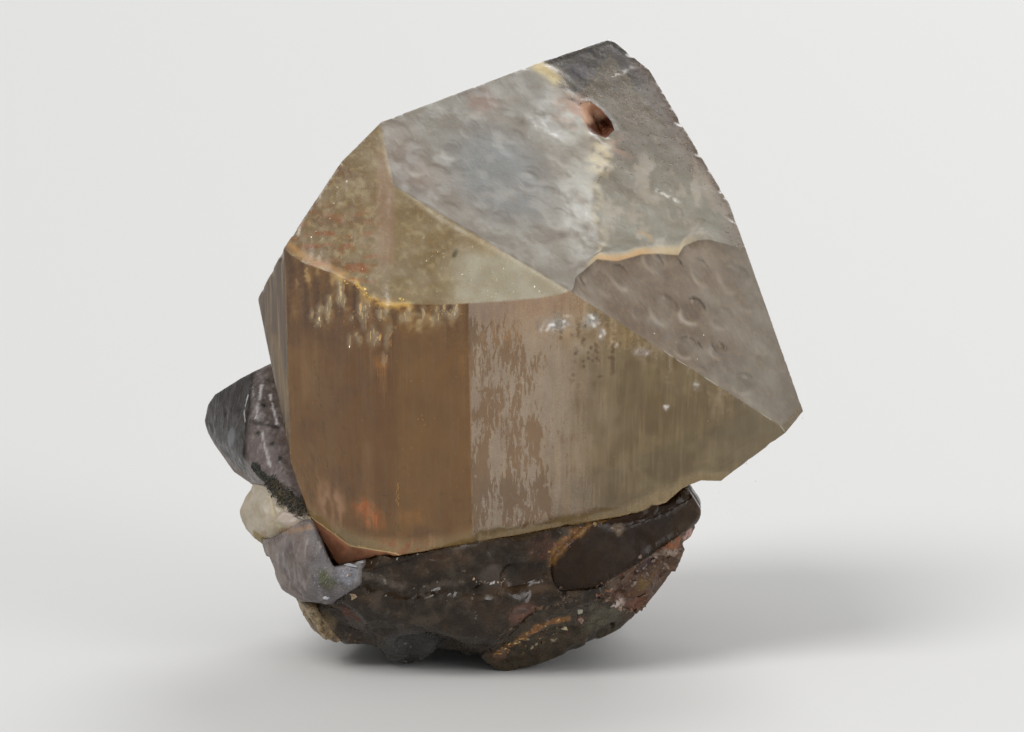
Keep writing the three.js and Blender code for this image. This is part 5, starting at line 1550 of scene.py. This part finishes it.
def small_grains():
    rng = np.random.RandomState(41)
    dull, bright = [], []
    for x, y, ra, rb, rc, turn, colour in [
            (352, 597, 0.95, 0.62, 0.30, 10, (166, 142, 112)), (688, 533, 0.45, 1.15, 0.40, 0, (182, 152, 144)), (691, 541, 0.35, 0.5, 0.3, 0, (168, 132, 122)),
            # the two pale chips at 618, 603 and 612, 606 are a painted glint
            (618, 603, 0.85, 0.55, 0.40, 0, (190, 176, 170)), (612, 606, 0.4, 0.3, 0.25, 30, (196, 186, 180)), (580, 612, 0.75, 0.45, 0.30, -15, (166, 160, 144)),
            (582, 620, 0.62, 0.62, 0.35, 0, (156, 130, 116)), (565, 629, 0.80, 0.50, 0.35, -15, (180, 168, 134)), (554, 639, 0.70, 0.50, 0.35, 0, (162, 146, 120)),
            (607, 590, 0.85, 0.28, 0.25, -15, (140, 84, 46)), (520, 612, 1.5, 0.9, 0.16, 12, (88, 66, 54)), (511, 619, 0.6, 0.4, 0.15, 30, (98, 68, 52)),
            (350, 566, 1.0, 0.35, 0.25, -8, (168, 170, 174)), (360, 562, 0.6, 0.35, 0.2, 10, (160, 160, 162)), (326, 598, 0.5, 0.5, 0.3, 0, (196, 198, 204)),
            (640, 527 + 30, 0.8, 0.35, 0.3, 20, (138, 118, 104)), (668, 553, 1.1, 0.3, 0.25, 10, (150, 132, 118)), (656, 557, 0.6, 0.3, 0.25, -20, (160, 140, 126)),
            (432, 561, 0.6, 0.3, 0.2, 0, (96, 84, 74)), (448, 565, 0.5, 0.35, 0.2, 50, (90, 80, 70)), (462, 572, 0.6, 0.25, 0.2, 20, (88, 74, 62)),
            (619, 531, 0.38, 0.32, 0.15, 0, (104, 90, 76)), (612, 528, 0.3, 0.22, 0.12, 0, (110, 88, 70))]:
        dull += seated(x, y, (ra, rb, rc), turn, lin(*colour), 0.3, 0.12, rng)
    scatter(dull, rng, [(346, 609), (352, 619)], 3.5, 26, (0.10, 0.26), [(98, 44, 30), (112, 64, 46), (82, 44, 32)], 0.4)
    scatter(dull, rng, [(494, 654), (512, 645), (530, 633), (548, 623), (566, 619)], 1.5, 46, (0.12, 0.40),
            [(188, 136, 72), (150, 100, 54), (212, 180, 124), (124, 88, 50), (176, 148, 96), (104, 80, 52)], 0.35, 2.2)
    scatter(dull, rng, [(520, 648), (540, 640), (560, 634)], 3.5, 18, (0.15, 0.42), [(150, 138, 108), (128, 104, 66), (92, 74, 46)])
    scatter(dull, rng, [(602, 520), (586, 527), (566, 540), (550, 556)], 2.4, 36, (0.10, 0.30), [(134, 104, 54), (128, 82, 48), (104, 86, 50), (150, 116, 72)], 0.3)
    scatter(dull, rng, [(560, 588), (566, 596), (572, 604)], 2.0, 26, (0.16, 0.40), [(62, 48, 34), (50, 38, 28), (78, 60, 44)], 0.5)
    scatter(dull, rng, [(597, 586), (602, 594), (606, 603)], 2.0, 26, (0.16, 0.40), [(72, 54, 40), (50, 38, 28), (96, 70, 50)], 0.5)
    scatter(dull, rng, [(500, 640), (519, 624), (534, 610), (552, 606), (572, 603), (590, 598)], 2.0, 44, (0.14, 0.42), [(66, 52, 36), (92, 70, 48), (52, 40, 30), (108, 84, 58)], 0.4)
    scatter(dull, rng, [(540, 556), (556, 548), (572, 540)], 3.0, 16, (0.15, 0.4), [(112, 62, 40), (96, 56, 40)], 0.35)
    scatter(dull, rng, [(684, 545), (676, 552), (664, 566), (650, 585), (640, 604), (632, 612)], 6.0, 60, (0.14, 0.50),
            [(118, 78, 50), (94, 60, 40), (118, 98, 80), (60, 44, 36), (98, 80, 48), (130, 102, 80)], 0.3)
    scatter(dull, rng, [(624, 590), (640, 575), (655, 566)], 5.0, 30, (0.15, 0.5), [(108, 84, 68), (84, 56, 40), (130, 116, 102)], 0.45)
    scatter(dull, rng, [(596, 592), (612, 600), (626, 612)], 4.0, 22, (0.15, 0.45), [(118, 78, 52), (132, 110, 90), (94, 58, 40)], 0.4)
    scatter(dull, rng, [(300, 602), (312, 618), (328, 636)], 3.0, 26, (0.15, 0.5), [(140, 122, 92), (110, 90, 62), (150, 138, 112)], 0.5)
    scatter(dull, rng, [(338, 634), (360, 640), (384, 646)], 3.0, 24, (0.12, 0.36), [(96, 78, 56), (74, 60, 46)], 0.4)
    # pale little facets with low roughness stand for the matrix's glints: painted glints on real chips
    scatter(bright, rng, [(337, 568), (352, 573), (375, 577), (400, 587)], 2.0, 12, (0.10, 0.28), [(112, 103, 94), (126, 118, 108), (94, 84, 74)], 0.35, 2.4)
    scatter(bright, rng, [(474, 580), (490, 583), (506, 580)], 1.2, 20, (0.08, 0.24), [(196, 190, 186), (180, 150, 120)], 0.5)
    scatter(bright, rng, [(420, 589), (440, 583), (466, 583)], 2.5, 9, (0.08, 0.22), [(108, 98, 88), (92, 82, 72)], 0.35, 2.4)
    scatter(bright, rng, [(350, 585), (420, 612), (500, 600), (470, 640)], 16.0, 26, (0.04, 0.12), [(100, 92, 82), (124, 114, 104)], 0.5)
    scatter(bright, rng, [(318, 588), (345, 580)], 6.0, 34, (0.05, 0.14), [(170, 172, 180), (140, 142, 148)], 0.6)
    scatter(bright, rng, [(394, 646), (415, 655), (425, 664)], 5.0, 12, (0.08, 0.2), [(130, 126, 122)], 0.5)
    chips("small_grains", dull, rng, chip_material("small_grains", 0.45))
    chips("small_facets", bright, rng, chip_material("small_facets", 0.12))


def moss():
    """A mat of fine dark and golden threads on crumbs, in the re-entrant between the grey crystal and the cream block."""
    rng = np.random.RandomState(43)
    path = np.array([(247, 457), (256, 468), (268, 480), (281, 492), (293, 504), (305, 513)], float)
    width = [2.5, 3.5, 5.0, 8.0, 7.5, 4.0]
    crumbs = []
    for _ in range(140):
        t = rng.uniform(0.6, 5)
        i = min(int(t), 4)
        x, y = path[i] + (path[i + 1] - path[i]) * (t - i) + rng.normal(size=2) * width[i] * 0.55
        r = rng.uniform(0.12, 0.42)
        crumbs += seated(x, y, (r * 1.3, r, r * 0.6), rng.uniform(0, 180), lin(*[(34, 38, 32), (48, 50, 42), (28, 28, 24), (66, 62, 50)][rng.randint(4)]), 0.3, 0.5, rng)
    chips("moss_crumbs", crumbs, rng, chip_material("moss_crumbs", 0.75))
    pts, tris, cols = [], [], []
    for _ in range(340):
        t = rng.uniform(2.1, 5)
        i = min(int(t), 4)
        x, y = path[i] + (path[i + 1] - path[i]) * (t - i) + rng.normal(size=2) * width[i] * 0.42
        at, n = hit(x, y)
        if at is None:
            continue
        side = np.cross(n, rng.normal(size=3))
        side /= np.linalg.norm(side)
        long_, thin = rng.uniform(0.5, 1.7), rng.uniform(0.022, 0.05)
        curl = rng.normal(size=3) * 0.35
        base_, rings = len(pts), 5
        for k in range(rings):
            f = k / (rings - 1)
            mid = at + side * long_ * (f - 0.5) + n * (0.10 + 0.22 * math.sin(math.pi * f)) + curl * (f * f - f)
            along_ = side * long_ + curl * (2 * f - 1)
            along_ /= np.linalg.norm(along_)
            a = np.cross(along_, n)
            a /= np.linalg.norm(a)
            b = np.cross(along_, a)
            for j in range(5):
                w = 2 * math.pi * j / 5
                pts.append(mid + (a * math.cos(w) + b * math.sin(w)) * thin)
        for k in range(rings - 1):
            for j in range(5):
                p0, p1 = base_ + k * 5 + j, base_ + k * 5 + (j + 1) % 5
                tris += [[p0, p0 + 5, p1], [p1, p0 + 5, p1 + 5]]
        for j in range(1, 4):
            tris.append([base_, base_ + j, base_ + j + 1])
            e = base_ + (rings - 1) * 5
            tris.append([e, e + j + 1, e + j])
        cols += [lin(*[(34, 38, 32), (98, 78, 48), (72, 60, 40), (48, 48, 40), (86, 82, 68)][rng.randint(5)])] * (rings * 5)
    piece = closed_mesh("moss_threads", np.array(pts), np.array(tris), {"tint": np.array(cols)}, sharp=60)
    piece.data.materials.append(chip_material("moss_threads", 0.6))
    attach(piece, "root")


small_grains()
moss()

# ------------------------------------------------------------------ floor, light and camera

def floor():
    bm = bmesh.new()
    ring = [bm.verts.new((7.0 * math.cos(a), 7.0 * math.sin(a), 0)) for a in np.linspace(0, 2 * math.pi, 64, endpoint=False)]
    bm.faces.new(ring)
    mesh = bpy.data.meshes.new("floor")
    bm.to_mesh(mesh)
    bm.free()
    piece = bpy.data.objects.new("floor", mesh)
    bpy.context.scene.collection.objects.link(piece)
    mat, tree, shader, out = new_material("floor")
    shader.inputs["Base Color"].default_value = (0.62, 0.62, 0.61, 1)
    shader.inputs["Roughness"].default_value = 0.7
    mesh.materials.append(mat)


def lamp(name, at, spread, power, colour=(1, 1, 1)):
    """A wide soft light from far away, as broad as spread degrees."""
    data = bpy.data.lights.new(name, "SUN")
    data.angle = math.radians(spread)
    data.energy = power
    data.color = colour
    piece = bpy.data.objects.new(name, data)
    bpy.context.scene.collection.objects.link(piece)
    piece.location = at
    piece.rotation_euler = (Vector((0, 0, 0.035)) - Vector(at)).to_track_quat("-Z", "Y").to_euler()


floor()
lamp("key", (-0.62, -0.50, 1.00), 32.0, 1.75, (1.0, 0.98, 0.95))
lamp("side", (0.80, -0.62, 0.32), 30.0, 0.95, (1.0, 0.98, 0.97))
lamp("behind", (0.25, 0.80, 0.70), 32.0, 1.2)

world = bpy.data.worlds.new("room")
world.use_nodes = True
world.node_tree.nodes["Background"].inputs["Color"].default_value = (0.80, 0.81, 0.83, 1)
world.node_tree.nodes["Background"].inputs["Strength"].default_value = 0.55
scene = bpy.context.scene
scene.world = world
scene.view_settings.view_transform = "Standard"
scene.view_settings.look = "None"
scene.cycles.max_bounces = 14
scene.cycles.glossy_bounces = 8
scene.cycles.transmission_bounces = 14
scene.cycles.diffuse_bounces = 3
scene.cycles.transparent_max_bounces = 8

camera = bpy.data.objects.new("camera", bpy.data.cameras.new("camera"))
scene.collection.objects.link(camera)
camera.data.lens, camera.data.sensor_width = LENS, SENSOR
camera.data.clip_start, camera.data.clip_end = 0.01, 30
camera.location = (EYE * MM).tolist()
camera.rotation_euler = (math.radians(90) - TILT, 0, 0)
scene.camera = camera

bpy.context.view_layer.update()
